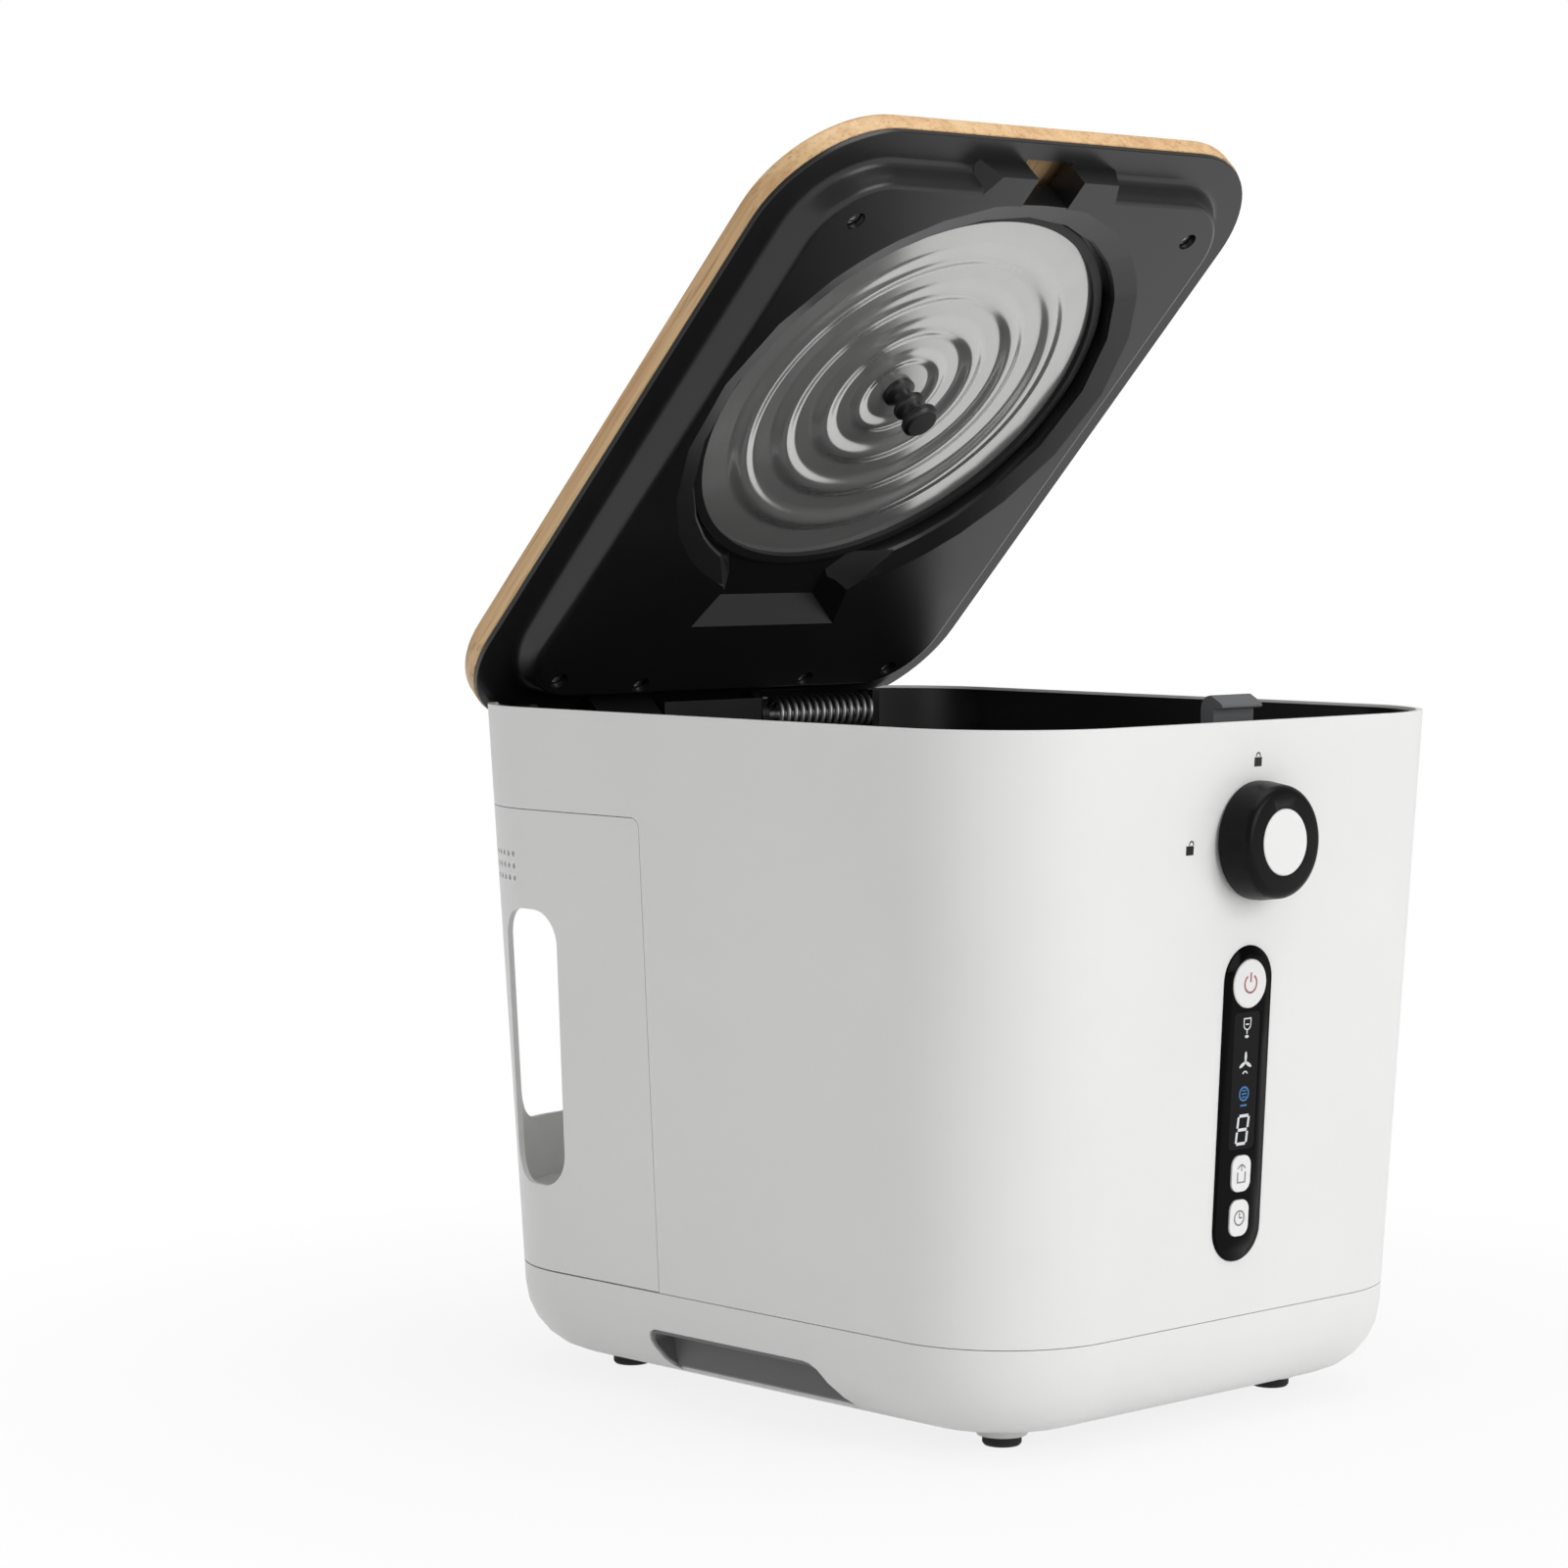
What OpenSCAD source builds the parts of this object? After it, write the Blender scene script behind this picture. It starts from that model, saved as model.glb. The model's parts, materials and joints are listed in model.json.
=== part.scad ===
// Electric food waste composter: white tapered body, wood-grain lid on a sprung hinge,
// front lock knob and control strip, and a filter module that pulls out of the rear corner.

/* [Body] */
// Width of the body at the rim
rim_w = 270; // [262:1:280]
// Depth of the body at the rim
rim_d = 326; // [320:1:334]
// Plan radius of the body's corners at the rim
corner_r = 56; // [52:1:60]
// Height of the rim above the floor
rim_z = 272; // [270:1:276]
// Height of the seam between the shell and the base pan
seam_z = 44; // [42:1:46]
// Size of the section at the seam as a share of the rim's
base_share = 0.924; // [0.91:0.002:0.94]
// Wall thickness of the moulded covers
wall = 2.5; // [2:0.1:3]
// Radius of the base pan's bottom edge
base_edge_r = 27; // [20:1:29]
// Height of the base pan's underside
pan_z = 8; // [6:0.5:10]

/* [Lid] */
// How far the lid stands open
lid_open = 46; // [0:1:46]
// Width of the lid
lid_w = 268; // [264:1:270]
// Depth of the lid
lid_d = 320; // [318:1:322]
// Plan radius of the lid's corners
lid_r = 48.6; // [46:0.2:52]
// Thickness of the wood-grain cover
lid_t = 10; // [9:0.5:12]
// Gap between the rim and the closed lid
lid_gap = 3; // [2.5:0.1:3.5]
// How far the liner's plateau stands down from its flange
plateau_h = 12; // [11:0.5:12.5]
// Radius of the polished inner disc
disc_r = 96; // [90:1:97]

/* [Hinge] */
// Distance of the hinge axis behind the body's own axis
hinge_y = 146; // [145:0.5:147]
// Depth of the hinge axis below the rim
hinge_drop = 10.5; // [10:0.5:11]
// Radius of the hinge pin
pin_r = 3; // [2.5:0.1:3.2]
// Curls of the lid spring
spring_curls = 14; // [10:1:16]
// Thickness of the spring's wire
spring_wire = 2.4; // [1.8:0.1:2.6]
// Radius of the spring's coil to the middle of the wire
spring_r = 7.4; // [6.4:0.1:7.5]

/* [Knob and controls] */
// Height of the lock knob's axis
knob_z = 227; // [222:1:232]
// Radius of the knob's skirt
knob_r = 22.5; // [20:0.5:24]
// How far the knob stands out of the front
knob_out = 15; // [12:0.5:17]
// Stroke of the latch hook over the knob's quarter turn
hook_travel = 4.5; // [4:0.1:4.8]
// Height of the middle of the control strip
panel_z = 126.5; // [124:0.5:130]
// Length of the control strip
panel_h = 121; // [116:1:124]
// Width of the control strip
panel_w = 26.5; // [24:0.5:27]
// Radius of the power button
power_r = 9.3; // [8:0.1:9.6]

/* [Filter module] */
// Distance from the body's axis to the module's side seam at the rim
module_y = 39; // [38:0.5:41]
// Distance from the body's axis to the module's rear seam at the rim
module_x = 11; // [11:0.5:13]
// Height of the module's top seam
module_top = 231; // [229:1:233]
// Side of the filter case's square plan
case_s = 107; // [105:1:108]
// Leg of the triangle that the hand hollow takes off the case's corner
hollow_leg = 77; // [70:1:80]
// Wall thickness of the filter case
case_wall = 2; // [1.5:0.1:2.5]

/* [Bucket and drive] */
// Distance of the bucket's axis in front of the body's own axis
bucket_y = 34; // [33:0.5:35]
// Radius of the bucket's wall below its shoulder
bucket_r = 82; // [78:0.5:82]
// Radius of the bucket's wide mouth
mouth_wall_r = 92; // [90:0.5:92]
// Wall thickness of the bucket
bucket_wall = 1.5; // [1.2:0.1:2]
// Tooth module of the gears
tooth = 1.25; // [1:0.05:1.3]
// Teeth of the large gear on the stirrer shaft
wheel_teeth = 48; // [40:4:52]
// Teeth of the motor's pinion
pinion_teeth = 12; // [12:4:16]
// Vanes of the fan
fan_vanes = 14; // [10:1:18]

/* [Hidden] */
$fn = 64;

big = 400;
eps = 0.01;
fit = 0.3;
running = 0.05;

// The lid's places when it is shut
lid_z = rim_z + lid_gap;
lid_back = 155.8;
lid_mid = lid_back - lid_d / 2;
hinge_z = rim_z - hinge_drop;
skirt = 2;
flange_t = 2;
swing_full = 46;
swing_step = 11.5;
flange_z = lid_z - flange_t;

// The frame's origin is the middle of the footprint of the open object
front_lean = atan(rim_d / 2 * (1 - base_share) / (rim_z - seam_z));
knob_front = rim_d / 2 * share(knob_z) + knob_out;
lid_rear = hinge_y + (lid_back - hinge_y) * cos(lid_open)
         + (lid_z + lid_t - 3 - hinge_z) * sin(lid_open);
axis_y = (knob_front - lid_rear) / 2;

// Share of the rim's size that the section has at a height
function share(z) = 1 - (1 - base_share) * (rim_z - z) / (rim_z - seam_z);

module on_axis() translate([0, axis_y, 0]) children();

module rounded_plan(w, d, r) {
    square([w - 2 * r, d], center = true);
    square([w, d - 2 * r], center = true);
    for (side = [-1, 1], end = [-1, 1])
        translate([side * (w / 2 - r), end * (d / 2 - r)]) circle(r);
}

module body_plan(inset) rounded_plan(rim_w - 2 * inset, rim_d - 2 * inset, corner_r - inset);

// A plan drawn at the rim's size and run between two heights with the body's taper
module tapered(z0, z1)
    translate([0, 0, z0])
        linear_extrude(height = z1 - z0, scale = share(z1) / share(z0))
            scale(share(z0)) children();

// A level slab of the body's plan at a height, drawn in by an inset
module body_slab(z, t, inset)
    translate([0, 0, z])
        linear_extrude(height = t)
            rounded_plan(rim_w * share(z) - 2 * inset, rim_d * share(z) - 2 * inset,
                         corner_r * share(z) - inset);

// A plane on the sloping front: x across, y up the wall, z outwards
module on_front(z)
    translate([0, -rim_d / 2 * share(z), z]) rotate([90 + front_lean, 0, 0]) children();

// The same on the sloping rear, seen from behind
module on_rear(x, z)
    translate([x, rim_d / 2 * share(z), z]) rotate([90 + front_lean, 0, 180]) children();

module stadium(w, h) {
    square([w, h - w], center = true);
    for (end = [-1, 1]) translate([0, end * (h - w) / 2]) circle(w / 2);
}

module ring(r_out, r_in, t)
    linear_extrude(height = t) difference() {
        circle(r_out);
        circle(r_in);
    }

module about_hinge() translate([0, hinge_y, hinge_z]) children();

// Turns what is drawn shut into the open lid
module lid_pose()
    on_axis() about_hinge() rotate([-lid_open, 0, 0])
        translate([0, -hinge_y, -hinge_z]) children();

// A bar along x between two places, about the hinge axis
module hinge_bar(x0, x1, r)
    translate([x0, 0, 0]) rotate([0, 90, 0]) cylinder(r = r, h = x1 - x0);

// Room for the lid's edge above the rear rim as it swings
module lid_swing()
    for (a = [0:swing_step:swing_full]) about_hinge() rotate([-a, 0, 0])
        translate([-big / 2, -30, flange_z - hinge_z - 2 * fit])
            cube([big, 30 + lid_back - hinge_y + 3, 60]);

/* Base */

pan_t = 3;
pan_steps = 6;
grip_top = 29;
grip_rear = 45;
grip_front = -49;
grip_foot = -63;
grip_deep = 16;
grip_r = 5;
foot_x = 78;
foot_y = 105;
foot_r = 7.5;
foot_h = 5;

module pan_form(inset)
    hull() {
        body_slab(seam_z - eps, eps, inset);
        for (i = [0:pan_steps]) {
            a = 90 * i / pan_steps;
            body_slab(pan_z + inset + (base_edge_r - inset) * (1 - sin(a)), eps,
                      inset + (base_edge_r - inset) * (1 - cos(a)));
        }
    }

// The side opening's outline in the plane of the base's side
module grip_outline(grow)
    polygon(concat(
        [[grip_rear + grow - 14, -1], [grip_rear + grow - 11, pan_z], [grip_rear + grow - 3, pan_z + 5]],
        [for (a = [0:22.5:90]) [grip_rear - grip_r + (grip_r + grow) * cos(a),
                                grip_top - grip_r + (grip_r + grow) * sin(a)]],
        [for (a = [90:20:130]) [grip_front + grip_r + 2 * grip_r * cos(a),
                                grip_top - 2 * grip_r + (2 * grip_r + grow) * sin(a)]],
        [[grip_foot - grow, pan_z + 2], [grip_foot - grow - 3, -1]]));

module grip_block(grow, deep)
    for (side = [-1, 1])
        translate([side * (rim_w / 2 * share(seam_z) - deep / 2 + 10), 0, 0])
            rotate([90, 0, 90])
                linear_extrude(height = deep + 20, center = true) grip_outline(grow);

module base_pan() color("white") on_axis() {
    difference() {
        pan_form(0);
        difference() {
            pan_form(pan_t);
            grip_block(2 * pan_t, grip_deep + 2 * pan_t);
        }
        translate([0, 0, seam_z - 1]) linear_extrude(height = 2)
            rounded_plan(rim_w * base_share - 2 * pan_t, rim_d * base_share - 2 * pan_t, 44);
        grip_block(0, grip_deep);
    }
    for (x = [-foot_x, foot_x], y = [-foot_y, foot_y])
        translate([x, y, foot_h - 1]) difference() {
            cylinder(r1 = foot_r + 2, r2 = foot_r + 5, h = pan_z - foot_h + 2);
            translate([0, 0, -1]) cylinder(r = foot_r + fit, h = 2 + eps);
        }
}

module rubber_feet() color("dimgray") on_axis()
    for (x = [-foot_x, foot_x], y = [-foot_y, foot_y])
        translate([x, y, 0]) {
            cylinder(r1 = foot_r - 0.8, r2 = foot_r, h = 1);
            translate([0, 0, 1]) cylinder(r = foot_r, h = foot_h - 1 - eps);
        }

module grip_liners() color("gray") on_axis()
    difference() {
        grip_block(-fit, grip_deep - fit);
        grip_block(-fit - 1.5, grip_deep - fit - 1.5);
        translate([0, 0, pan_z - 10]) cube([big, big, 20 + eps], center = true);
        difference() {
            translate([0, 0, 30]) cube([big, big, 80], center = true);
            pan_form(1);
        }
    }

module base_screws() color("silver") on_axis()
    for (x = [-foot_x, foot_x], y = [-foot_y + 24, foot_y - 24])
        translate([x, y, pan_z + pan_t + eps]) {
            cylinder(r = 3.6, h = 2.2);
            cylinder(r = 1.8, h = seam_z - pan_z - pan_t - 1);
        }

/* Shell and frame */

seam_r = 4;

// One face of the module's opening: the seam leans with the wall and has a rounded upper corner
module module_outline(edge, grow)
    polygon(concat(
        [[edge * base_share - grow, seam_z - 1]],
        [for (a = [180:-15:90]) [edge * share(module_top - seam_r) + seam_r + (seam_r + grow) * cos(a),
                                 module_top - seam_r + (seam_r + grow) * sin(a)]],
        [[big, module_top + grow], [big, seam_z - 1]]));

module module_block(grow)
    intersection() {
        rotate([90, 0, 90]) linear_extrude(height = 2 * big, center = true)
            module_outline(module_y, grow);
        mirror([1, 0, 0]) rotate([90, 0, 0]) linear_extrude(height = 2 * big, center = true)
            module_outline(module_x, grow);
    }

module panel_hole(grow, deep)
    on_front(panel_z) translate([0, 0, -deep])
        linear_extrude(height = deep + 10) stadium(panel_w + 2 * grow, panel_h + 2 * grow);

inlet_x = 72;
inlet_z = 66;
inlet_w = 30;
inlet_h = 23;

module outer_shell() color("white") on_axis()
    difference() {
        tapered(seam_z + 0.3, rim_z) difference() {
            body_plan(0);
            body_plan(wall);
        }
        module_block(fit);
        lid_swing();
        translate([0, -rim_d / 2, knob_z]) rotate([90, 0, 0])
            cylinder(r = 6, h = 40, center = true);
        panel_hole(0.2, 20);
        on_rear(inlet_x, inlet_z) cube([inlet_w + 0.6, inlet_h + 0.6, 30], center = true);
    }

deck_z = rim_z - 22;
deck_t = 2.5;
frame_t = 2;
well_r = bucket_r + 3;
frame_top = deck_z + deck_t;

module inner_frame() color("black") on_axis()
    difference() {
        union() {
            tapered(deck_z - 6, rim_z - 1) difference() {
                body_plan(wall + 0.2);
                body_plan(wall + 0.2 + frame_t);
            }
            tapered(deck_z, deck_z + deck_t) body_plan(wall + 0.5);
        }
        translate([0, -bucket_y, deck_z - 5]) cylinder(r = mouth_wall_r + 3.4, h = 20);
        lid_swing();
        translate([-hook_w / 2 - 1, hook_front - hook_travel - 1, deck_z - 5])
            cube([hook_w + 2, hook_depth + hook_travel + 2, 12]);
    }

// The bay that the filter module slides into, with its back cut to clear the bucket's well
bay_gap = 1.5;
bay_wall = 1.5;
case_x = -120.5;
case_y = 146.5;
bay_z0 = seam_z + 4;
back_cut = 64;

// Plan of the case: the corner's square with its inner corner cut off
module case_plan(grow)
    polygon([[case_x - grow, case_y + grow],
             [case_x - grow, case_y - case_s - grow],
             [case_x + back_cut + grow * tan(22.5), case_y - case_s - grow],
             [case_x + case_s + grow, case_y - back_cut - grow * tan(22.5)],
             [case_x + case_s + grow, case_y + grow]]);

module filter_bay() color("dimgray") on_axis()
    difference() {
        intersection() {
            translate([0, 0, bay_z0]) linear_extrude(height = module_top - bay_z0 + 2)
                case_plan(bay_gap + bay_wall);
            tapered(seam_z, module_top + 4) body_plan(wall + 0.6);
        }
        translate([0, 0, bay_z0 - 1]) linear_extrude(height = module_top - bay_z0 + 1 - eps) {
            case_plan(bay_gap);
            translate([case_x - 40, case_y - case_s - bay_gap]) square([50, case_s + 60]);
            translate([case_x - 40, case_y - 10]) square([case_s + 40 + bay_gap, 50]);
        }
        translate([-56, 100, module_top - 10]) cylinder(r = 14, h = 30);
        translate([-40, 104, 186]) cube([60, 22, 16]);
    }

module chassis_plate() color("silver") on_axis()
    translate([0, 0, seam_z + 0.5]) linear_extrude(height = 2.5) difference() {
        rounded_plan(rim_w * base_share - 2 * wall - 2, rim_d * base_share - 2 * wall - 2, 46);
        translate([0, -bucket_y]) circle(12);
        for (x = [-foot_x, foot_x], y = [-foot_y + 24, foot_y - 24]) translate([x, y]) circle(2.2);
    }

/* Bucket, heater and drive */

bucket_z = 62;
bucket_foot_r = bucket_r - 3;
boss_r = 9;
boss_h = 16;
shaft_r = 5;
wheel_z = 30;
wheel_t = 7;
gear_gap = tooth * (wheel_teeth + pinion_teeth) / 2;

module at_bucket() on_axis() translate([0, -bucket_y, 0]) children();

well_z = bucket_z - 5;
shoulder_z = 236;
shoulder_h = 10;
well_t = 1.5;
flange_h = 2;
bucket_top = frame_top + well_t + flange_h + 2 * eps;

module heater_well() color("lightgray") at_bucket() rotate_extrude()
    polygon([[shaft_r + 3, well_z], [well_r, well_z], [well_r, shoulder_z - 2],
             [mouth_wall_r + 3, shoulder_z + 8], [mouth_wall_r + 3, frame_top + eps],
             [mouth_wall_r + 9, frame_top + eps],
             [mouth_wall_r + 9, frame_top + well_t], [mouth_wall_r + 3 - well_t, frame_top + well_t],
             [mouth_wall_r + 3 - well_t, shoulder_z + 8.6], [well_r - well_t, shoulder_z - 1.4],
             [well_r - well_t, well_z + well_t], [shaft_r + 3, well_z + well_t]]);

module heating_ring() color("darkred") at_bucket()
    translate([0, 0, seam_z + 3.2]) ring(70, 22, 9.5);

module bucket() color("darkslategray") at_bucket() rotate_extrude()
    polygon(concat(
        [[shaft_r + running, bucket_z], [bucket_foot_r - 8, bucket_z], [bucket_foot_r, bucket_z + 8],
         [bucket_r, shoulder_z], [mouth_wall_r, shoulder_z + shoulder_h],
         [mouth_wall_r, bucket_top - flange_h], [disc_r, bucket_top - flange_h],
         [disc_r + 0.5, bucket_top - 0.6], [disc_r, bucket_top]],
        [for (p = [[mouth_wall_r, bucket_top], [mouth_wall_r, shoulder_z + shoulder_h + 0.6],
                   [bucket_r, shoulder_z + 0.6], [bucket_foot_r, bucket_z + 8.6]])
            [p[0] - bucket_wall, p[1]]],
        [[bucket_foot_r - 8.6, bucket_z + 2], [boss_r, bucket_z + 2],
         [boss_r - 1.5, bucket_z + boss_h], [shaft_r + running, bucket_z + boss_h]]));

// A spur gear with straight-sided teeth and room for backlash
module spur(teeth, t, phase) {
    pitch_r = teeth * tooth / 2;
    step = 360 / teeth;
    linear_extrude(height = t) polygon([
        for (i = [0:teeth - 1]) for (p = [[-0.30, -1.3], [-0.13, 0.85], [0.13, 0.85], [0.30, -1.3]])
            let (r = pitch_r + p[1] * tooth, a = (i + p[0]) * step + phase)
                [r * cos(a), r * sin(a)]]);
}

module drive_gear() color("ivory") at_bucket()
    difference() {
        translate([0, 0, wheel_z]) spur(wheel_teeth, wheel_t, 0);
        for (i = [0:5]) rotate([0, 0, 60 * i]) translate([18, 0, wheel_z - 1])
            cylinder(r = 5, h = wheel_t + 2);
        translate([0, 0, wheel_z - 1]) cylinder(r = shaft_r, h = wheel_t + 2);
    }

module drive_shaft() color("silver") at_bucket()
    translate([0, 0, wheel_z - 6]) {
        cylinder(r = shaft_r - eps, h = bucket_z + boss_h - wheel_z + 4);
        translate([0, 0, bucket_z + boss_h - wheel_z + 4 - eps])
            cylinder(r = shaft_r - 0.5, h = 8, $fn = 6);
    }

module motor_pinion() color("goldenrod") at_bucket()
    translate([gear_gap, 0, 0]) {
        translate([0, 0, wheel_z]) spur(pinion_teeth, wheel_t, 180 + 180 / pinion_teeth);
        translate([0, 0, wheel_z - 3]) cylinder(r = 3, h = 3 + eps);
    }

module motor() color("dimgray") at_bucket()
    translate([gear_gap, 0, pan_z + pan_t + 0.5]) difference() {
        union() {
            cylinder(r = 24, h = 13);
            cylinder(r = 9, h = 15);
        }
        translate([0, 0, 4]) cylinder(r = 3 + running, h = 20);
    }

module gearbox_housing() color("slategray") at_bucket()
    translate([0, 0, wheel_z - 3]) difference() {
        linear_extrude(height = seam_z - wheel_z + 3) {
            circle(38);
            translate([gear_gap, 0]) circle(16);
            translate([gear_gap / 2, 0]) square([gear_gap, 32], center = true);
        }
        translate([0, 0, 2]) cylinder(r = 33, h = wheel_t + 3);
        translate([gear_gap, 0, 2]) cylinder(r = 11, h = wheel_t + 3);
        translate([gear_gap, 0, -1]) cylinder(r = 3 + running, h = 20);
        translate([0, 0, -1]) cylinder(r = shaft_r + running, h = 30);
    }

// Stirrer: a tall hub, a scraper that sweeps the bottom and a shorter paddle above it
blade_r = 72;
module paddle(reach, z, t, tilt)
    translate([0, 0, z]) rotate([tilt, 0, 0]) difference() {
        translate([0, -1.5, -t / 2]) cube([reach, 3, t]);
        translate([reach + 6, 0, t / 2 + 2]) rotate([90, 0, 0]) cylinder(r = 14, h = 10, center = true);
    }

module stirrer() color("darkgray") at_bucket()
    translate([0, 0, bucket_z + boss_h + 1.2]) {
        difference() {
            union() {
                translate([0, 0, -boss_h + 3]) cylinder(r = 16, h = boss_h);
                cylinder(r1 = 16, r2 = 8, h = 22);
                translate([0, 0, 22 - eps]) cylinder(r = 8, h = 12);
                translate([0, 0, 34 - eps]) sphere(r = 8);
                for (a = [0, 180]) rotate([0, 0, a]) translate([10, 0, 0])
                    paddle(blade_r - 10, -5, 13, 24);
                rotate([0, 0, 90]) translate([4, 0, 0]) paddle(50, 26, 12, 30);
                rotate([0, 0, 270]) translate([4, 0, 0]) paddle(50, 16, 12, 30);
            }
            translate([0, 0, -boss_h]) cylinder(r = boss_r + 1.5, h = boss_h + 0.5);
            cylinder(r = shaft_r - 0.5 + 0.2, h = 9.5, $fn = 6);
        }
    }

/* Air and electrics */

fan_x = 68;
fan_y = 100;
fan_z = 186;
fan_r = 26;

module at_fan() on_axis() translate([fan_x, fan_y, fan_z]) children();

module fan_housing() color("dimgray") at_fan()
    difference() {
        union() {
            cylinder(r = fan_r + 5, h = 22);
            translate([-fan_r - 20, 0, 0]) cube([fan_r + 20, fan_r + 5, 22]);
        }
        translate([0, 0, 2]) cylinder(r = fan_r + 3, h = 18);
        translate([-fan_r - 21, 5, 2]) cube([fan_r + 12, fan_r - 2, 18]);
        translate([0, 0, 15]) cylinder(r = 15, h = 20);
        translate([0, 0, -1]) cylinder(r = 2 + running, h = 10);
    }

module fan_impeller() color("black") at_fan() {
    translate([0, 0, 4]) difference() {
        cylinder(r = fan_r, h = 1.5);
        translate([0, 0, -1]) cylinder(r = 1.9, h = 4);
    }
    translate([0, 0, 5.5 - eps]) cylinder(r1 = 9, r2 = 6, h = 8);
    for (i = [0:fan_vanes - 1]) rotate([0, 0, 360 * i / fan_vanes])
        translate([fan_r - 9, 0, 5.5 - eps]) rotate([0, 0, 35]) cube([8.4, 1, 12]);
    translate([0, 0, -4]) cylinder(r = 2, h = 9);
}

module fan_motor() color("silver") at_fan()
    translate([0, 0, -14 - eps]) difference() {
        cylinder(r = 13, h = 14);
        translate([0, 0, 8]) cylinder(r = 2 + running, h = 10);
    }

module exhaust_duct() color("dimgray") on_axis()
    translate([-8, fan_y + 4, fan_z]) difference() {
        cube([fan_x - fan_r - 20 + 8 - eps, fan_r - 2, 18]);
        translate([-1, 1.5, 1.5]) cube([big, fan_r - 5, 15]);
    }

board_y = 134;

module main_board() color("darkgreen") on_axis()
    translate([22, board_y, 82]) {
        cube([84, 1.6, 90]);
        translate([10, -14, 10]) cube([22, 14 + eps, 18]);
        translate([44, -20, 12]) rotate([-90, 0, 0]) cylinder(r = 8, h = 20 + eps);
        translate([66, -20, 12]) rotate([-90, 0, 0]) cylinder(r = 8, h = 20 + eps);
        translate([14, -10, 44]) cube([26, 10 + eps, 26]);
        for (i = [0:3]) translate([52 + 7 * i, -8, 50]) cube([5, 8 + eps, 16]);
        for (x = [6, 44]) translate([x, eps, 4]) cube([4, 15, 4]);
    }

inlet_deep = 16;

module power_inlet() color("black") on_axis() on_rear(inlet_x, inlet_z)
    difference() {
        union() {
            translate([0, 0, 0.6 + eps]) cube([inlet_w + 4, inlet_h + 4, 1.2], center = true);
            translate([0, 0, -10]) cube([inlet_w, inlet_h, 21.2], center = true);
        }
        translate([0, 0, -inlet_deep / 2 + 2]) cube([inlet_w - 5, inlet_h - 6, inlet_deep], center = true);
    }

module inlet_pins() color("silver") on_axis() on_rear(inlet_x, inlet_z)
    for (p = [[-7, -1.5], [0, 3], [7, -1.5]])
        translate([p[0], p[1], -inlet_deep + 2 + 4.5 + eps]) cube([2, 4, 9], center = true);

/* Controls on the front */

bezel_out = 1.2;
bezel_t = 4.4;
cap_gap = 0.25;
power_up = 46.2;
mode_up = -26.6;
timer_up = -43.7;
cap_w = 10.7;
cap_h = 14;
window_mid = 9;
window_h = 53;
window_w = 15;
cap_out = 0.6;

module at_panel() on_axis() on_front(panel_z) children();

module control_bezel() color("black") at_panel()
    difference() {
        union() {
            translate([0, 0, bezel_out - bezel_t]) linear_extrude(height = bezel_t - 0.5)
                stadium(panel_w, panel_h);
            hull() {
                translate([0, 0, bezel_out - 0.6]) linear_extrude(height = eps) stadium(panel_w, panel_h);
                translate([0, 0, bezel_out - eps]) linear_extrude(height = eps)
                    stadium(panel_w - 1, panel_h - 1);
            }
            translate([0, 0, -wall - 1.6]) linear_extrude(height = 1.4) stadium(panel_w + 5, panel_h + 5);
        }
        translate([0, power_up, -10]) cylinder(r = power_r + cap_gap, h = 20);
        for (up = [mode_up, timer_up]) translate([0, up, -10])
            linear_extrude(height = 20) rounded_plan(cap_w + 2 * cap_gap, cap_h + 2 * cap_gap, 4.2);
        translate([0, window_mid, -10]) linear_extrude(height = 20)
            rounded_plan(window_w + 0.1, window_h + 0.1, 2);
    }

module display_window() color("darkslategray") at_panel()
    translate([0, window_mid, bezel_out - 2.1]) linear_extrude(height = 2)
        rounded_plan(window_w, window_h, 2);

module display_board() color("darkgreen") at_panel()
    translate([0, 0, -11]) {
        linear_extrude(height = 1.6) stadium(panel_w + 2, panel_h + 2);
        for (up = [power_up, mode_up, timer_up]) translate([0, up, 1.6 - eps]) {
            translate([-3, -3, 0]) cube([6, 6, 3]);
            cylinder(r = 1.7, h = 3.6);
        }
        translate([-6, window_mid - 22, 1.6 - eps]) cube([12, 44, 7.5]);
        for (end = [-1, 1]) translate([0, end * (panel_h / 2 - 6), 1.6 - eps])
            cylinder(r = 2.4, h = 5.2);
    }

module power_button() color("whitesmoke") at_panel()
    translate([0, power_up, 0]) {
        translate([0, 0, -1.6]) cylinder(r = power_r, h = bezel_out + cap_out + 1.2);
        translate([0, 0, bezel_out + cap_out - 0.4 - eps])
            cylinder(r1 = power_r, r2 = power_r - 0.4, h = 0.4);
        translate([0, 0, -4.4]) cylinder(r = 4, h = 2.8 + eps);
    }

module oblong_cap(up)
    translate([0, up, 0]) {
        translate([0, 0, -1.6]) linear_extrude(height = bezel_out + cap_out + 1.6)
            rounded_plan(cap_w, cap_h, 4);
        translate([0, 0, -4.4]) cylinder(r = 4, h = 2.8 + eps);
    }

module mode_button() color("whitesmoke") at_panel() oblong_cap(mode_up);

module timer_button() color("whitesmoke") at_panel() oblong_cap(timer_up);

/* Lock knob and latch */

knob_base_y = rim_d / 2 * share(knob_z);
cap_disc_r = 12.6;
barrel_r = 9;
barrel_h = 14;
hook_w = 23;
hook_front = -150;
hook_depth = 6.5;
nose_out = 4.4;
keeper_t = 0.8;
nose_z = lid_z + keeper_t + 0.4 - rim_z - 2;
follower_y = -136;
lead = 4 * hook_travel;
follower_r = 1.5;

// The knob's axis: z outwards, starting at the front face
module at_knob() on_axis() translate([0, -knob_base_y, knob_z]) rotate([90, 0, 0]) children();

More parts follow.
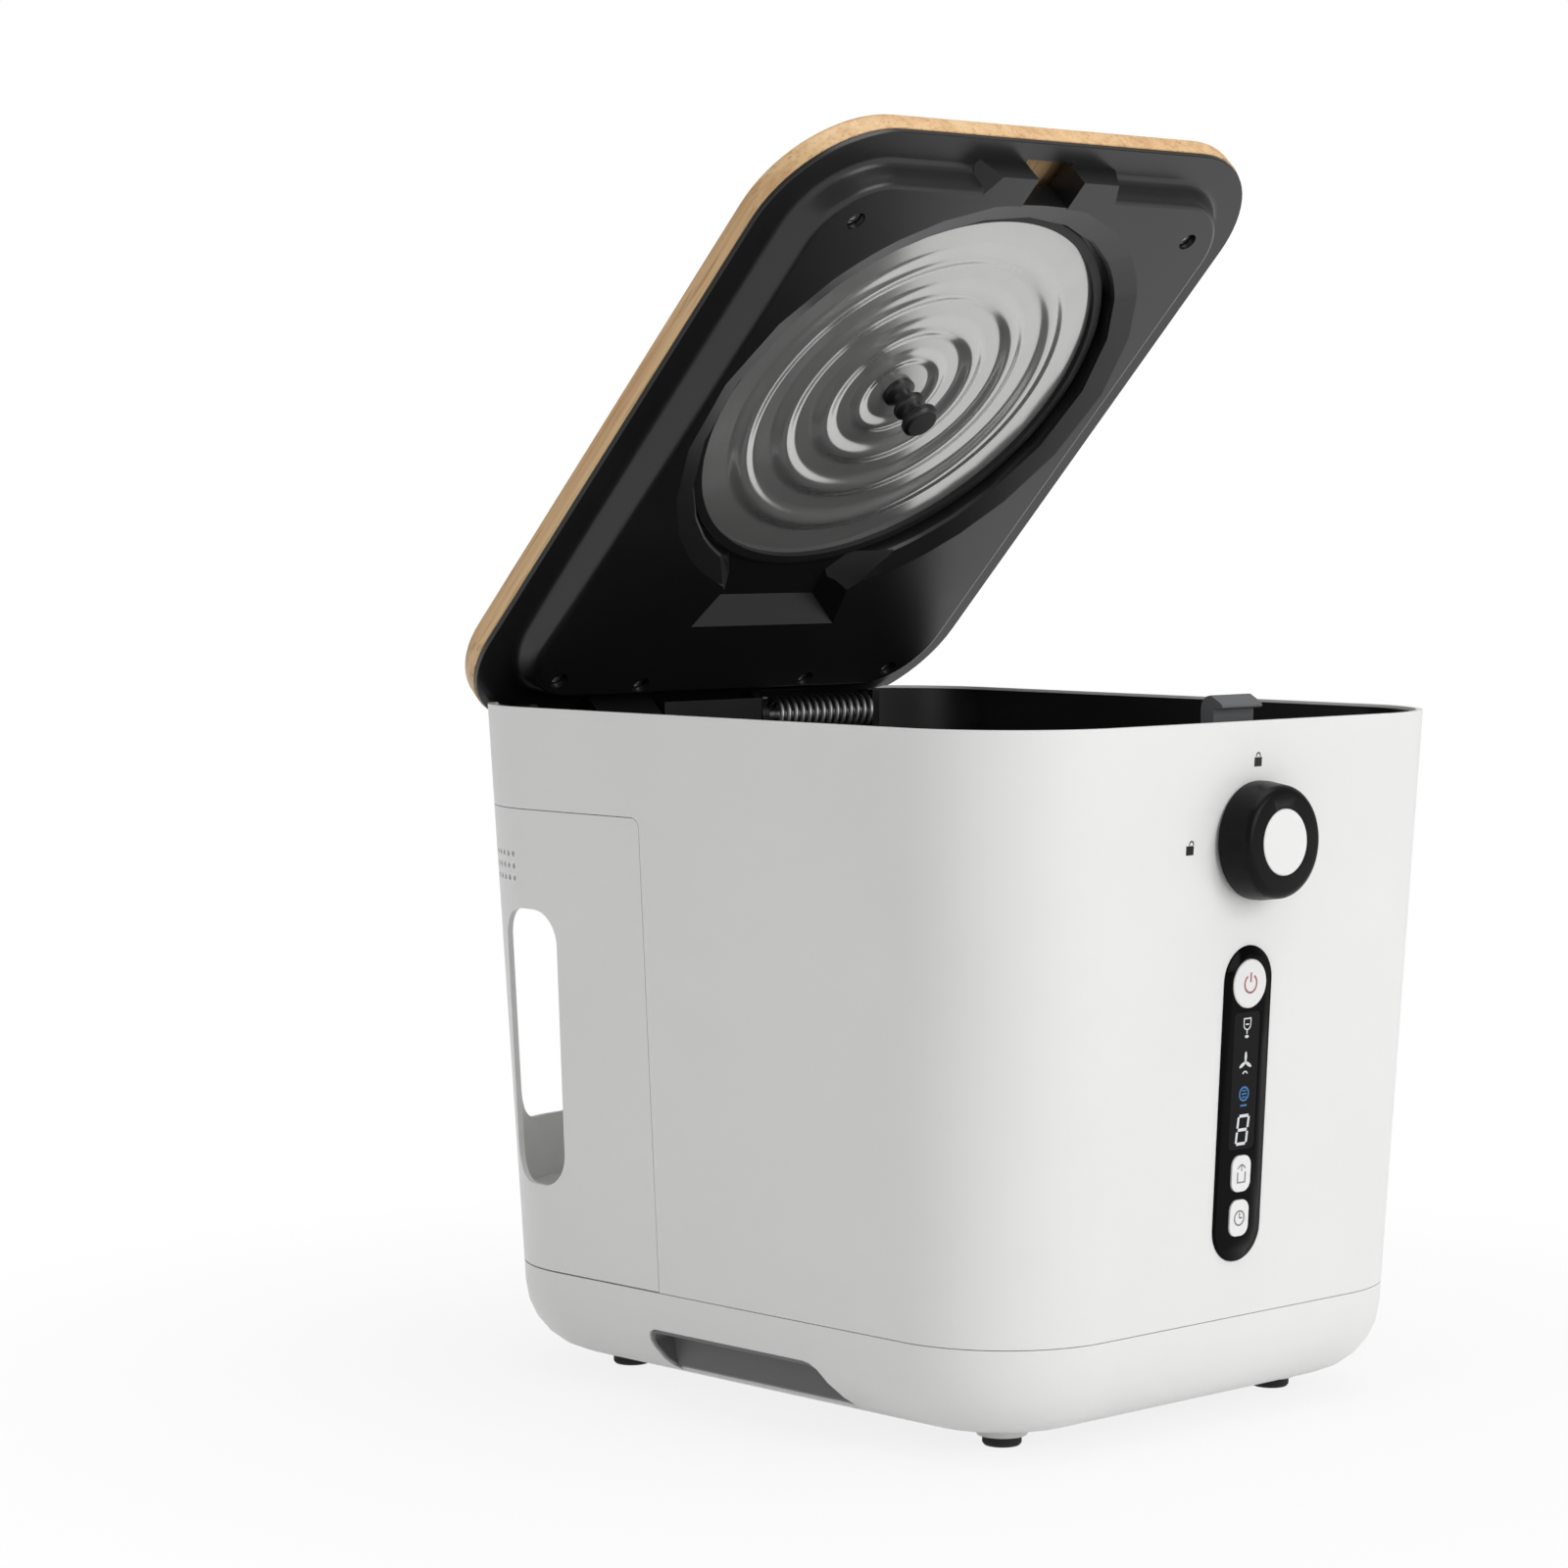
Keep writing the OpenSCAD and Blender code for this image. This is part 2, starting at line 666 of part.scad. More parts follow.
module knob_body() color("black") at_knob()
    translate([0, 0, 1.6]) difference() {
        rotate_extrude() polygon(concat(
            [[0, 0], [knob_r, 0], [knob_r, 3]],
            [for (a = [0:15:90]) [knob_r - 4.5 + 3.5 * cos(a), knob_out - 4.7 + 3.5 * sin(a)]],
            [[0, knob_out - 1.2]]));
        translate([0, 0, knob_out - 3.2]) cylinder(r = cap_disc_r + 0.2, h = 5);
        translate([0, 0, -1]) cylinder(r = 4 + eps, h = 9);
    }

module knob_cap() color("white") at_knob()
    translate([0, 0, knob_out - 1.6 + eps]) {
        cylinder(r = cap_disc_r, h = 1.6);
        translate([0, 0, 1.6 - eps]) cylinder(r1 = cap_disc_r, r2 = cap_disc_r - 0.4, h = 0.4);
    }

// Shaft and barrel cam: the spiral groove carries the hook's follower
barrel_z = -knob_base_y - follower_y + hook_travel / 2 - barrel_h / 2;
groove_r = 5.8;
groove_half = 42;
groove_run = hook_travel + 10;

module knob_shaft() color("silver") at_knob()
    difference() {
        union() {
            translate([0, 0, -38]) cylinder(r = 4, h = 46);
            translate([0, 0, barrel_z]) cylinder(r = barrel_r, h = barrel_h);
        }
        translate([0, 0, -knob_base_y - follower_y + hook_travel / 2 - groove_run / 2])
            rotate([0, 0, 45 - 180 * groove_run / lead])
                linear_extrude(height = groove_run, twist = -360 * groove_run / lead, slices = 16)
                    polygon([for (p = [[groove_r, -groove_half], [12, -groove_half], [14, 0],
                                       [12, groove_half], [groove_r, groove_half], [groove_r, 0]])
                        [p[0] * sin(p[1]), p[0] * cos(p[1])]]);
    }

module latch_hook() color("dimgray") on_axis() {
    translate([0, hook_front, 0]) {
        translate([-hook_w / 2, 0, knob_z + 11]) cube([hook_w, hook_depth, rim_z + 2 - knob_z - 11]);
        translate([0, 0, rim_z + 2]) rotate([90, 0, 90])
            linear_extrude(height = hook_w, center = true) polygon(concat(
                [[hook_depth, -eps]],
                [for (a = [0:22.5:90]) [hook_depth - 5 + 5 * cos(a), 2.4 + 5 * sin(a)]],
                [[-nose_out + 1, nose_z + 2.4], [-nose_out, nose_z + 1.4], [-nose_out, nose_z + 0.6],
                 [-nose_out + 0.8, nose_z], [0, nose_z], [0, -eps]]));
        translate([-hook_w / 2, hook_depth - eps, knob_z + 11])
            cube([hook_w, follower_y - hook_front + 4 - hook_depth, 4]);
    }
    translate([0, follower_y, knob_z + barrel_r - 3]) cylinder(r = follower_r, h = 6);
}

module latch_guide() color("dimgray") on_axis()
    difference() {
        translate([-19, hook_front - 6.5, knob_z - 16]) cube([38, 23.5, deck_z - eps - knob_z + 16]);
        translate([-hook_w / 2 - fit, hook_front - 5, knob_z + 11 - fit])
            cube([hook_w + 2 * fit, 60, 60]);
        translate([0, hook_front + 1, knob_z]) rotate([-90, 0, 0]) cylinder(r = barrel_r + 1, h = 60);
        translate([-follower_r - fit, follower_y - hook_travel - follower_r - fit, knob_z + barrel_r - 1])
            cube([2 * (follower_r + fit), 30, 5]);
        translate([0, 0, knob_z]) rotate([90, 0, 0]) cylinder(r = 4 + running, h = big);
    }

/* Hinge */

block_x0 = -27.5;
block_x1 = 28.5;
post_x = 97;
post_w = 4;
post_up = spring_r + spring_wire / 2 + 0.6;
arm_a = [-63, -28.5];
arm_b = [29.5, 33.5];
arm_b_pad = 64;
arm_back = 4;
pad_t = 2.5;
knuckle_r = 6;
hinge_deck = frame_top + eps;

module hinge_bracket() color("dimgray") on_axis()
    difference() {
        union() {
            translate([block_x0, hinge_y - 6, hinge_deck])
                cube([block_x1 - block_x0, 12, rim_z - 2.5 - hinge_deck]);
            for (side = [-1, 1])
                translate([side * (post_x + post_w / 2) - post_w / 2, hinge_y - 5, hinge_deck])
                    cube([post_w, 10, hinge_z + post_up - hinge_deck]);
        }
        about_hinge() hinge_bar(-big / 2, big / 2, pin_r + running);
    }

module hinge_pin() color("silver") on_axis() about_hinge()
    hinge_bar(-post_x - post_w - 1, post_x + post_w + 1, pin_r);

spring_x0 = arm_b[1] + fit;
spring_x1 = post_x - 2 * eps;
spring_steps = 8;
spring_sides = 6;
spring_len = spring_x1 - spring_x0 - 2 * spring_wire;

// The middle of the wire at a step: a straight start, the curls, and a straight end, all along x
function spring_point(i) = let (n = spring_curls * spring_steps, j = min(max(i, 0), n),
        a = 360 * j / spring_steps,
        x = spring_x0 + spring_wire + spring_len * j / n
            + (i < 0 ? -spring_wire : 0) + (i > n ? spring_wire : 0))
    [x, spring_r * sin(a), spring_r * cos(a)];

spring_route = [for (i = [-1:spring_curls * spring_steps + 1]) spring_point(i)];

// One unbroken tube along a route of points
module swept_tube(route, r, sides) {
    last = len(route) - 1;
    rings = [for (i = [0:last]) let (
            t = unit(route[min(i + 1, last)] - route[max(i - 1, 0)]),
            out = [0, route[i][1], route[i][2]],
            n = unit(out - t * (out * t)), b = cross(t, n))
        for (s = [0:sides - 1]) route[i] + r * (cos(360 * s / sides) * n + sin(360 * s / sides) * b)];
    walls = [for (i = [0:last - 1], s = [0:sides - 1]) let (
            a = i * sides + s, b = i * sides + (s + 1) % sides)
        each [[a, b, b + sides], [a, b + sides, a + sides]]];
    ends = [for (s = [1:sides - 2]) each [[0, s + 1, s],
        [last * sides, last * sides + s, last * sides + s + 1]]];
    polyhedron(points = rings, faces = concat(walls, ends));
}

function unit(v) = v / norm(v);

// The least gap between the spring's curls, measured on the route's points
spring_gap = min([for (i = [0:len(spring_route) - 1], j = [i + spring_steps - 2:1:len(spring_route) - 1])
    norm(spring_route[i] - spring_route[j])]) - spring_wire;
echo(spring_gap = spring_gap);

module lid_spring() color("dimgray") on_axis() about_hinge()
    swept_tube(spring_route, spring_wire / 2, spring_sides);

module hinge_damper() color("black") on_axis() about_hinge()
    difference() {
        union() {
            hinge_bar(-post_x + 0.4, arm_a[0] - 0.6, 5.6);
            hinge_bar(-post_x + 0.4, -post_x + 6, 6);
        }
        hinge_bar(-big / 2, big / 2, pin_r + running);
    }

arm_top = flange_z - hinge_z - eps;

module hinge_arms() color("black") lid_pose() about_hinge()
    difference() {
        union() {
            for (x = [arm_a, arm_b]) {
                hinge_bar(x[0], x[1], knuckle_r);
                translate([x[0], -knuckle_r, 0]) cube([x[1] - x[0], knuckle_r + arm_back, arm_top]);
            }
            translate([arm_b[0], -knuckle_r, arm_top - pad_t])
                cube([arm_b_pad - arm_b[0], knuckle_r + arm_back, pad_t]);
        }
        hinge_bar(-big / 2, big / 2, pin_r + running);
    }

/* Lid */

module lid_plan(inset)
    translate([0, lid_mid]) rounded_plan(lid_w - 2 * inset, lid_d - 2 * inset, lid_r - inset);

lid_edge_r = 4;

module lid_slab(z, inset) translate([0, 0, z]) linear_extrude(height = eps) lid_plan(inset);

module lid_cover() color("burlywood") lid_pose()
    difference() {
        hull() {
            lid_slab(lid_z, 0);
            for (a = [0:22.5:90])
                lid_slab(lid_z + lid_t - lid_edge_r + lid_edge_r * sin(a) - eps,
                         lid_edge_r * (1 - cos(a)));
        }
        translate([0, 0, lid_z - 1]) linear_extrude(height = lid_t - 2.5 + 1) lid_plan(skirt);
    }

plateau_x = 113.3;
plateau_front = -146;
plateau_rear = 131;
slope_x = 8.5;
slope_y = 4;
slope_rear = 6;
recess_y = -bucket_y;
recess_r = 98;
mouth_r = 108;
disc_z = lid_z - 2;
face_z = lid_z - plateau_h;

// A level slice of the plateau, grown by an inset and set at a share of its height
module plateau_slice(z, s, inset) {
    w = 2 * (plateau_x + slope_x * s - inset);
    y0 = plateau_front - slope_y * s + inset;
    y1 = plateau_rear + slope_rear * s - inset;
    translate([0, (y0 + y1) / 2, z]) linear_extrude(height = eps)
        rounded_plan(w, y1 - y0, 30 + 8 * s - inset);
}

module plateau(inset)
    hull() {
        plateau_slice(face_z + inset, 0, inset);
        plateau_slice(lid_z + flange_t - eps, 1, inset);
    }

// Half outlines of the air way from the recess towards the hinge, at its floor and at its mouth
throat = [[[44, 44], [25, 72]], [[62, 44], [28, 80]]];
air_end = [[[24, 44], [29, 82]], [[26, 44], [42, 92]]];

module air_slice(half, z, grow)
    translate([0, 0, z]) linear_extrude(height = eps) polygon([
        [-half[0][0] - grow, half[0][1]], [half[0][0] + grow, half[0][1]],
        [half[1][0] + grow, half[1][1] + grow], [-half[1][0] - grow, half[1][1] + grow]]);

module air_way(grow)
    for (part = [throat, air_end]) hull() {
        air_slice(part[0], disc_z + grow - eps, grow);
        air_slice(part[1], face_z - 1, grow);
    }

notch_w = 26;
notch_rear = -140.8;
notch_front = -155.3;
boss_front = -153.7;
boss_x = 40;

module lid_liner() color("black") lid_pose()
    difference() {
        union() {
            translate([0, 0, flange_z]) linear_extrude(height = flange_t) lid_plan(0.6);
            difference() {
                plateau(0);
                difference() {
                    plateau(2);
                    translate([0, recess_y, face_z - 1]) cylinder(r = mouth_r + 2, h = 30);
                    air_way(2);
                    translate([-boss_x, notch_rear, face_z]) cube([2 * boss_x, 30, 30]);
                    translate([-notch_w / 2 - 2, notch_front - 2, face_z])
                        cube([notch_w + 4, notch_rear - notch_front + 4, 30]);
                }
            }
            translate([-boss_x, boss_front, face_z])
                cube([2 * boss_x, -boss_front + plateau_front + 4, plateau_h + eps]);
        }
        translate([0, recess_y, 0]) {
            translate([0, 0, face_z - eps]) cylinder(r1 = mouth_r, r2 = recess_r, h = 3);
            translate([0, 0, face_z + 1]) cylinder(r = recess_r, h = disc_z - face_z);
            translate([0, 0, disc_z - 1]) cylinder(r = disc_r + 0.3, h = 2.8);
            translate([0, 0, disc_z]) cylinder(r = 60, h = 20);
        }
        air_way(0);
        translate([-notch_w / 2, notch_front, face_z - 1])
            cube([notch_w, notch_rear - notch_front, 30]);
        for (p = screw_places) translate([p[0], p[1], face_z - eps]) {
            cylinder(r = 4, h = 5);
            cylinder(r = 1.6, h = 30);
        }
    }

screw_places = [for (side = [-1, 1]) each [[side * 94.7, -127.7], [side * 95, 121], [side * 47.5, 125.5]]];

// Rings pressed into the polished disc: middle radius, height and half width
disc_rings = [[73, 1.8, 7], [54, 1.8, 7], [35, 1.8, 7], [19, 1.2, 5]];
disc_t = 0.8;

module lid_disc() color("silver") lid_pose() translate([0, recess_y, disc_z])
    rotate_extrude() polygon(concat(
        [[0, disc_t], [0, 0]],
        [for (i = [len(disc_rings) - 1:-1:0]) each ring_wave(disc_rings[i], 1, 0)],
        [[disc_r, 0], [disc_r, disc_t]],
        [for (i = [0:len(disc_rings) - 1]) each ring_wave(disc_rings[i], -1, disc_t)]));

// A wave that stands down from the disc, drawn outwards below or inwards above
function ring_wave(ring, way, lift) = [for (a = [0:30:360])
    [ring[0] + way * ring[2] * (a / 180 - 1), lift - ring[1] * (1 - cos(a)) / 2]];

gasket_h = 2.3;

module lid_gasket() color("black") lid_pose()
    translate([0, recess_y, disc_z - gasket_h]) ring(disc_r, mouth_wall_r, gasket_h - eps);

module lid_hub() color("black") lid_pose()
    translate([0, recess_y, disc_z]) mirror([0, 0, 1]) rotate_extrude()
        polygon([[0, eps], [7, eps], [7, 2], [4.4, 4], [4.4, 7], [7, 8.4], [7, 10.4], [5, 12.2],
                 [5, 14.4], [8, 16.4], [8, 18.6], [6.6, 20], [0, 20]]);

// Steel strip on the flange's upper side, under the hook's nose
module latch_keeper() color("silver") lid_pose()
    translate([-notch_w / 2 + 1, notch_front - 5.5, lid_z + eps])
        cube([notch_w - 2, 5.4, keeper_t]);

module lid_screws() color("gray") lid_pose()
    for (p = screw_places) translate([p[0], p[1], face_z + 2.6]) difference() {
        union() {
            cylinder(r = 3.4, h = 2.4 - eps);
            cylinder(r = 1.5, h = 13);
        }
        translate([0, 0, -eps]) cylinder(r = 1.3, h = 1.4, $fn = 6);
    }

/* Filter module */

hand_z0 = 79;
hand_rear_z0 = 99;
hand_z1 = 191;
hand_r = 14;
vent_rows = [202.8, 207.7, 212.6];
vent_r = 1.2;
vent_turn = 4.7;

// Slot for the fingers in the side wall, and its twin in the rear wall
module hand_slots() {
    translate([-rim_w / 2, 0, 0]) rotate([90, 0, 90]) linear_extrude(height = 60, center = true)
        hand_outline(90, 126, hand_z0);
    translate([0, rim_d / 2, 0]) rotate([90, 0, 0]) linear_extrude(height = 60, center = true)
        hand_outline(-107, -62, hand_rear_z0);
}

module hand_outline(a, b, z0)
    translate([(a + b) / 2, (z0 + hand_z1) / 2]) rounded_plan(b - a, hand_z1 - z0, hand_r);

// Light lining of the hand hollow, moulded with the cover, with a floor under the slots
module hand_lining()
    intersection() {
        tapered(seam_z + 1, module_top) body_plan(wall - eps);
        translate([-rim_w, 0, lining_z0]) cube([rim_w, rim_d, big]);
        difference() {
            hand_hollow(-fit);
            difference() {
                hand_hollow(-fit - lining_t);
                translate([-rim_w, 0, 0]) cube([rim_w, rim_d, lining_z0 + lining_t]);
            }
        }
    }

module corner_cover() color("white") on_axis()
    difference() {
        union() {
            intersection() {
                tapered(seam_z + 0.6, module_top + 1) difference() {
                    body_plan(0);
                    body_plan(wall);
                }
                module_block(0);
            }
            hand_lining();
        }
        hand_slots();
        corner_vents(rim_w / 2 - corner_r, rim_d / 2 - corner_r, corner_r);
    }

// Rows of small holes wrapped round the body's rear corner
module corner_vents(cx, cy, r)
    for (z = vent_rows, i = [-7:7])
        translate([-cx * share(z), cy * share(z), z]) rotate([0, 0, 135 + i * vent_turn])
            translate([r * share(z) - wall - 2, 0, 0]) rotate([0, 90, 0])
                cylinder(r = vent_r, h = wall + 4, $fn = 8);

arch_top = 196;
arch_r = 22;
lining_t = 1.8;
lining_z0 = hand_z0 - 7;
case_top = module_top - 3;
case_z0 = bay_z0 + 1;
case_h = case_top - case_z0;

// The hand hollow across the case's outer corner, with an arched top
module hand_hollow(grow)
    translate([case_x, case_y, 0]) rotate([0, 0, 45])
        translate([0, -hollow_leg / sqrt(2) - grow, 0]) rotate([-90, 0, 0]) mirror([0, 1, 0])
            linear_extrude(height = 100) {
                w = hollow_leg * sqrt(2) - 12 + 2 * grow;
                translate([-w / 2, case_z0 - 10]) square([w, arch_top - arch_r + grow - case_z0 + 10]);
                translate([-w / 2 + arch_r, case_z0]) square([w - 2 * arch_r, arch_top - case_z0 + grow]);
                for (side = [-1, 1])
                    translate([side * (w / 2 - arch_r), arch_top - arch_r + grow]) circle(arch_r);
            }

module case_form(grow, top)
    translate([0, 0, case_z0 - (grow < 0 ? 1 : 0)])
        linear_extrude(height = case_h + (grow < 0 ? 1 : 0) - top) intersection() {
            case_plan(grow);
            case_corner(grow);
        }

// Rounds the outer corner of the case's plan
module case_corner(grow)
    union() {
        r = 30;
        translate([case_x + r, case_y - r]) circle(r + grow);
        translate([case_x + r, case_y - big]) square([big, 2 * big]);
        translate([case_x - grow - 1, case_y - big - r]) square([big, big]);
    }

module filter_case() color("dimgray") on_axis()
    difference() {
        case_form(0, 0);
        difference() {
            case_form(-case_wall, case_wall);
            hand_hollow(case_wall);
        }
        hand_hollow(0);
        wing_slots();
        translate([case_x + 30, case_y - 30, 0]) for (z = [-7.8, -2.6, 2.6, 7.8], i = [-5:5])
            translate([0, 0, arch_top + 17 + z]) rotate([0, 0, 135 + i * 7.5])
                translate([30 - case_wall - 1.5, 0, 0]) rotate([0, 90, 0])
                    cylinder(r = 1.3, h = case_wall + 3, $fn = 8);
    }

strip_w = 20;

// A tall ramped groove in the free end of each wing
module wing_slots() {
    translate([case_x, case_y - case_s + strip_w / 2 + 3, 0]) wing_groove();
    translate([case_x + case_s - strip_w / 2 - 3, case_y, 0]) rotate([0, 0, -90]) wing_groove();
}

module wing_groove()
    rotate([90, 0, 0]) linear_extrude(height = 9, center = true)
        polygon([[-1, case_z0 + 22], [1, case_z0 + 22], [1.6, case_top - 18], [-1, case_top - 18]]);

module filter_base_plate() color("black") on_axis()
    difference() {
        intersection() {
            translate([0, 0, case_z0 - 0.9]) linear_extrude(height = 0.9 - eps) case_plan(-0.2);
            body_slab(case_z0 - 1, 2, wall + fit);
        }
        translate([case_x + 34, case_y - 34, case_z0 - 5]) rotate([0, 0, -45])
            for (i = [-4:4], j = [-2:2]) translate([i * 6, j * 6, 0]) cylinder(r = 1.4, h = 10, $fn = 8);
    }

module filter_carbon() color("black") on_axis()
    translate([0, 0, case_z0 + 2]) linear_extrude(height = 120)
        difference() {
            case_plan(-case_wall - 1);
            translate([case_x, case_y]) rotate(45)
                square([hollow_leg * sqrt(2) + 8, hollow_leg * sqrt(2) + 8], center = true);
        }

base_pan();
rubber_feet();
grip_liners();
outer_shell();
inner_frame();
filter_bay();
chassis_plate();
heater_well();
heating_ring();
gearbox_housing();
drive_gear();
drive_shaft();
motor();
motor_pinion();
bucket();
stirrer();
fan_housing();
fan_motor();
fan_impeller();
exhaust_duct();
main_board();
power_inlet();
inlet_pins();
control_bezel();
display_window();
display_board();
power_button();
mode_button();
timer_button();
knob_body();
knob_cap();
knob_shaft();
latch_hook();
latch_guide();
hinge_bracket();
hinge_pin();
lid_spring();
hinge_damper();
hinge_arms();
lid_cover();
lid_liner();
lid_disc();
lid_gasket();
lid_hub();
latch_keeper();
lid_screws();
corner_cover();
filter_case();
filter_base_plate();
filter_carbon();
base_screws();
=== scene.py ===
import json
import math

import bmesh
import bpy
from mathutils import Matrix, Vector


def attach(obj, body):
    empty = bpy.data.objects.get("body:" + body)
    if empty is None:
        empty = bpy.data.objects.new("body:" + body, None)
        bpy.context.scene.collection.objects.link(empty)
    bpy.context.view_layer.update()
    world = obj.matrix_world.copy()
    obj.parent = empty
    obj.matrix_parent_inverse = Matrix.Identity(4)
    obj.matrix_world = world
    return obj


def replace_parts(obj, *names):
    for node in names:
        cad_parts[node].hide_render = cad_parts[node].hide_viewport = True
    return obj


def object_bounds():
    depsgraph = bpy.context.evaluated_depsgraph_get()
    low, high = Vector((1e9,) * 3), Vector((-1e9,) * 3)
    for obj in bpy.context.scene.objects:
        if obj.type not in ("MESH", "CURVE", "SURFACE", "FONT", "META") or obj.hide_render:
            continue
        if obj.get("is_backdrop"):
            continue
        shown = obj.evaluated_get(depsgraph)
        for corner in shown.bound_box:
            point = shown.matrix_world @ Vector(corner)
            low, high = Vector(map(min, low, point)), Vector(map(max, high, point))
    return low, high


# Sizes in millimetres, in the body's axis frame, which lies AXIS_Y behind the row's origin
MM = 0.001
AXIS_Y = 4.0
RIM_Z = 272.0
RIM_D = 326.0
TAPER, TAPER_H = 0.076, 228.0
HINGE = Vector((0.0, 146.0, 261.5))
LID_OPEN = math.radians(46.0)
LID_Z = 275.0
LID_T = 10.0
LID_W, LID_D, LID_R = 268.0, 320.0, 48.6
LID_BACK = 155.8
LID_MID = LID_BACK - LID_D / 2
DISC_Y = -34.0
FRONT_LEAN = math.atan(RIM_D / 2 * TAPER / TAPER_H)


def linked(name, data):
    """A new object of the scene around its data."""
    obj = bpy.data.objects.new(name, data)
    bpy.context.scene.collection.objects.link(obj)
    return obj


# Camera at the photograph's viewing angle: place, degrees of heading and pitch, lens
CAMERA_AT = (-1227.9, -1191.8, 354.5)
CAMERA_HEADING, CAMERA_PITCH = 43.545, 3.8145
CAMERA_LENS = 97.764
cam_data = bpy.data.cameras.new("camera")
cam_data.lens = CAMERA_LENS
cam_data.sensor_width = 36.0
cam_data.clip_end = 50.0
camera = linked("camera", cam_data)
bpy.context.scene.camera = camera
pitch, heading = math.radians(CAMERA_PITCH), math.radians(CAMERA_HEADING)
forward = Vector((math.cos(pitch) * math.sin(heading), math.cos(pitch) * math.cos(heading), -math.sin(pitch)))
camera.location = Vector(CAMERA_AT) * MM
camera.rotation_euler = forward.to_track_quat("-Z", "Y").to_euler()

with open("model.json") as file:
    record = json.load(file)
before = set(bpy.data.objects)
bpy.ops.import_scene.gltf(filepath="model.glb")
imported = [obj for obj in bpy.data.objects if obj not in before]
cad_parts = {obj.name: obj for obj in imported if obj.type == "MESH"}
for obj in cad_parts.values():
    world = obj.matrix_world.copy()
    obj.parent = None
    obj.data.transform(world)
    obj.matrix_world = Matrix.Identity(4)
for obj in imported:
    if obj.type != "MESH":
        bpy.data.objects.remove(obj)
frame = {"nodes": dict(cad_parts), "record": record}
nodes = frame["nodes"]
cad_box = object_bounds()


def share(z):
    """How much of the rim's size the tapered body has left at a height."""
    return 1.0 - TAPER * (RIM_Z - z) / TAPER_H


# Materials


class Nodes:
    """A material under construction: short names for adding and joining shader nodes."""

    def __init__(self, name):
        self.mat = bpy.data.materials.new(name)
        self.mat.use_nodes = True
        self.tree = self.mat.node_tree
        self.shader = self.tree.nodes["Principled BSDF"]
        self.coords = self.tree.nodes.new("ShaderNodeTexCoord").outputs["Object"]

    def add(self, kind, **sockets):
        node = self.tree.nodes.new(kind)
        for key, value in sockets.items():
            node.inputs[key.replace("_", " ")].default_value = value
        return node

    def join(self, a, b):
        self.tree.links.new(a, b)

    def noise(self, scale, detail=3.0, stretch=None):
        n = self.add("ShaderNodeTexNoise", Scale=scale, Detail=detail, Roughness=0.5)
        source = self.coords
        if stretch:
            m = self.add("ShaderNodeMapping")
            m.inputs["Scale"].default_value = stretch
            self.join(source, m.inputs["Vector"])
            source = m.outputs["Vector"]
        self.join(source, n.inputs["Vector"])
        return n.outputs["Fac"]

    def ramp(self, source, stops):
        r = self.add("ShaderNodeValToRGB")
        while len(r.color_ramp.elements) < len(stops):
            r.color_ramp.elements.new(0.5)
        for e, (at, colour) in zip(r.color_ramp.elements, stops):
            e.position = at
            e.color = (*colour, 1.0)
        self.join(source, r.inputs["Fac"])
        return r.outputs["Color"]

    def span(self, source, low, high):
        r = self.add("ShaderNodeMapRange")
        r.inputs["To Min"].default_value = low
        r.inputs["To Max"].default_value = high
        self.join(source, r.inputs["Value"])
        return r.outputs["Result"]

    def bump(self, source, strength, distance):
        b = self.add("ShaderNodeBump", Strength=strength, Distance=distance)
        self.join(source, b.inputs["Height"])
        self.join(b.outputs["Normal"], self.shader.inputs["Normal"])

    def set(self, **sockets):
        for key, value in sockets.items():
            self.shader.inputs[key.replace("_", " ")].default_value = value


def srgb(*levels):
    """Linear colour of 0 to 255 display values."""
    shares = [v / 255.0 for v in levels]
    return tuple(v / 12.92 if v <= 0.04045 else ((v + 0.055) / 1.055) ** 2.4 for v in shares)


def shade(colour, k):
    return tuple(min(1.0, v * k) for v in colour)


def mottled(m, source, low, high, socket="Base Color"):
    """Joins a colour that drifts between two shades to a socket of the shader."""
    m.join(m.ramp(source, [(0.3, low), (0.7, high)]), m.shader.inputs[socket])


def plastic(name, colour, rough, grain, grain_scale, vary, specular=0.5):
    """Moulded plastic: grain is the height of its fine texture in metres, vary the drift of its colour."""
    m = Nodes(name)
    mottled(m, m.noise(14.0), shade(colour, 1 - vary), shade(colour, 1 + vary))
    fine = m.noise(grain_scale, 2.0)
    m.join(m.span(m.noise(40.0, 4.0), rough * 0.88, rough * 1.12), m.shader.inputs["Roughness"])
    m.bump(fine, 0.35, grain)
    m.set(Specular_IOR_Level=specular)
    return m.mat


def metal(name, colour, rough, brush=(1.0, 1.0, 1.0), bump=0.00003, vary=0.05, metallic=1.0):
    """Metal whose brush marks follow the axis that brush squeezes."""
    m = Nodes(name)
    streak = m.noise(60.0, 4.0, stretch=brush)
    mottled(m, streak, shade(colour, 1 - vary), shade(colour, 1 + vary))
    m.join(m.span(streak, rough * 0.8, rough * 1.25), m.shader.inputs["Roughness"])
    m.bump(m.noise(260.0, stretch=brush), 0.3, bump)
    m.set(Metallic=metallic)
    return m.mat


def glow(name, colour, strength):
    m = Nodes(name)
    for socket in ("Base Color", "Emission Color"):
        mottled(m, m.noise(300.0), shade(colour, 0.9), colour, socket)
    m.set(Emission_Strength=strength, Roughness=0.5)
    return m.mat


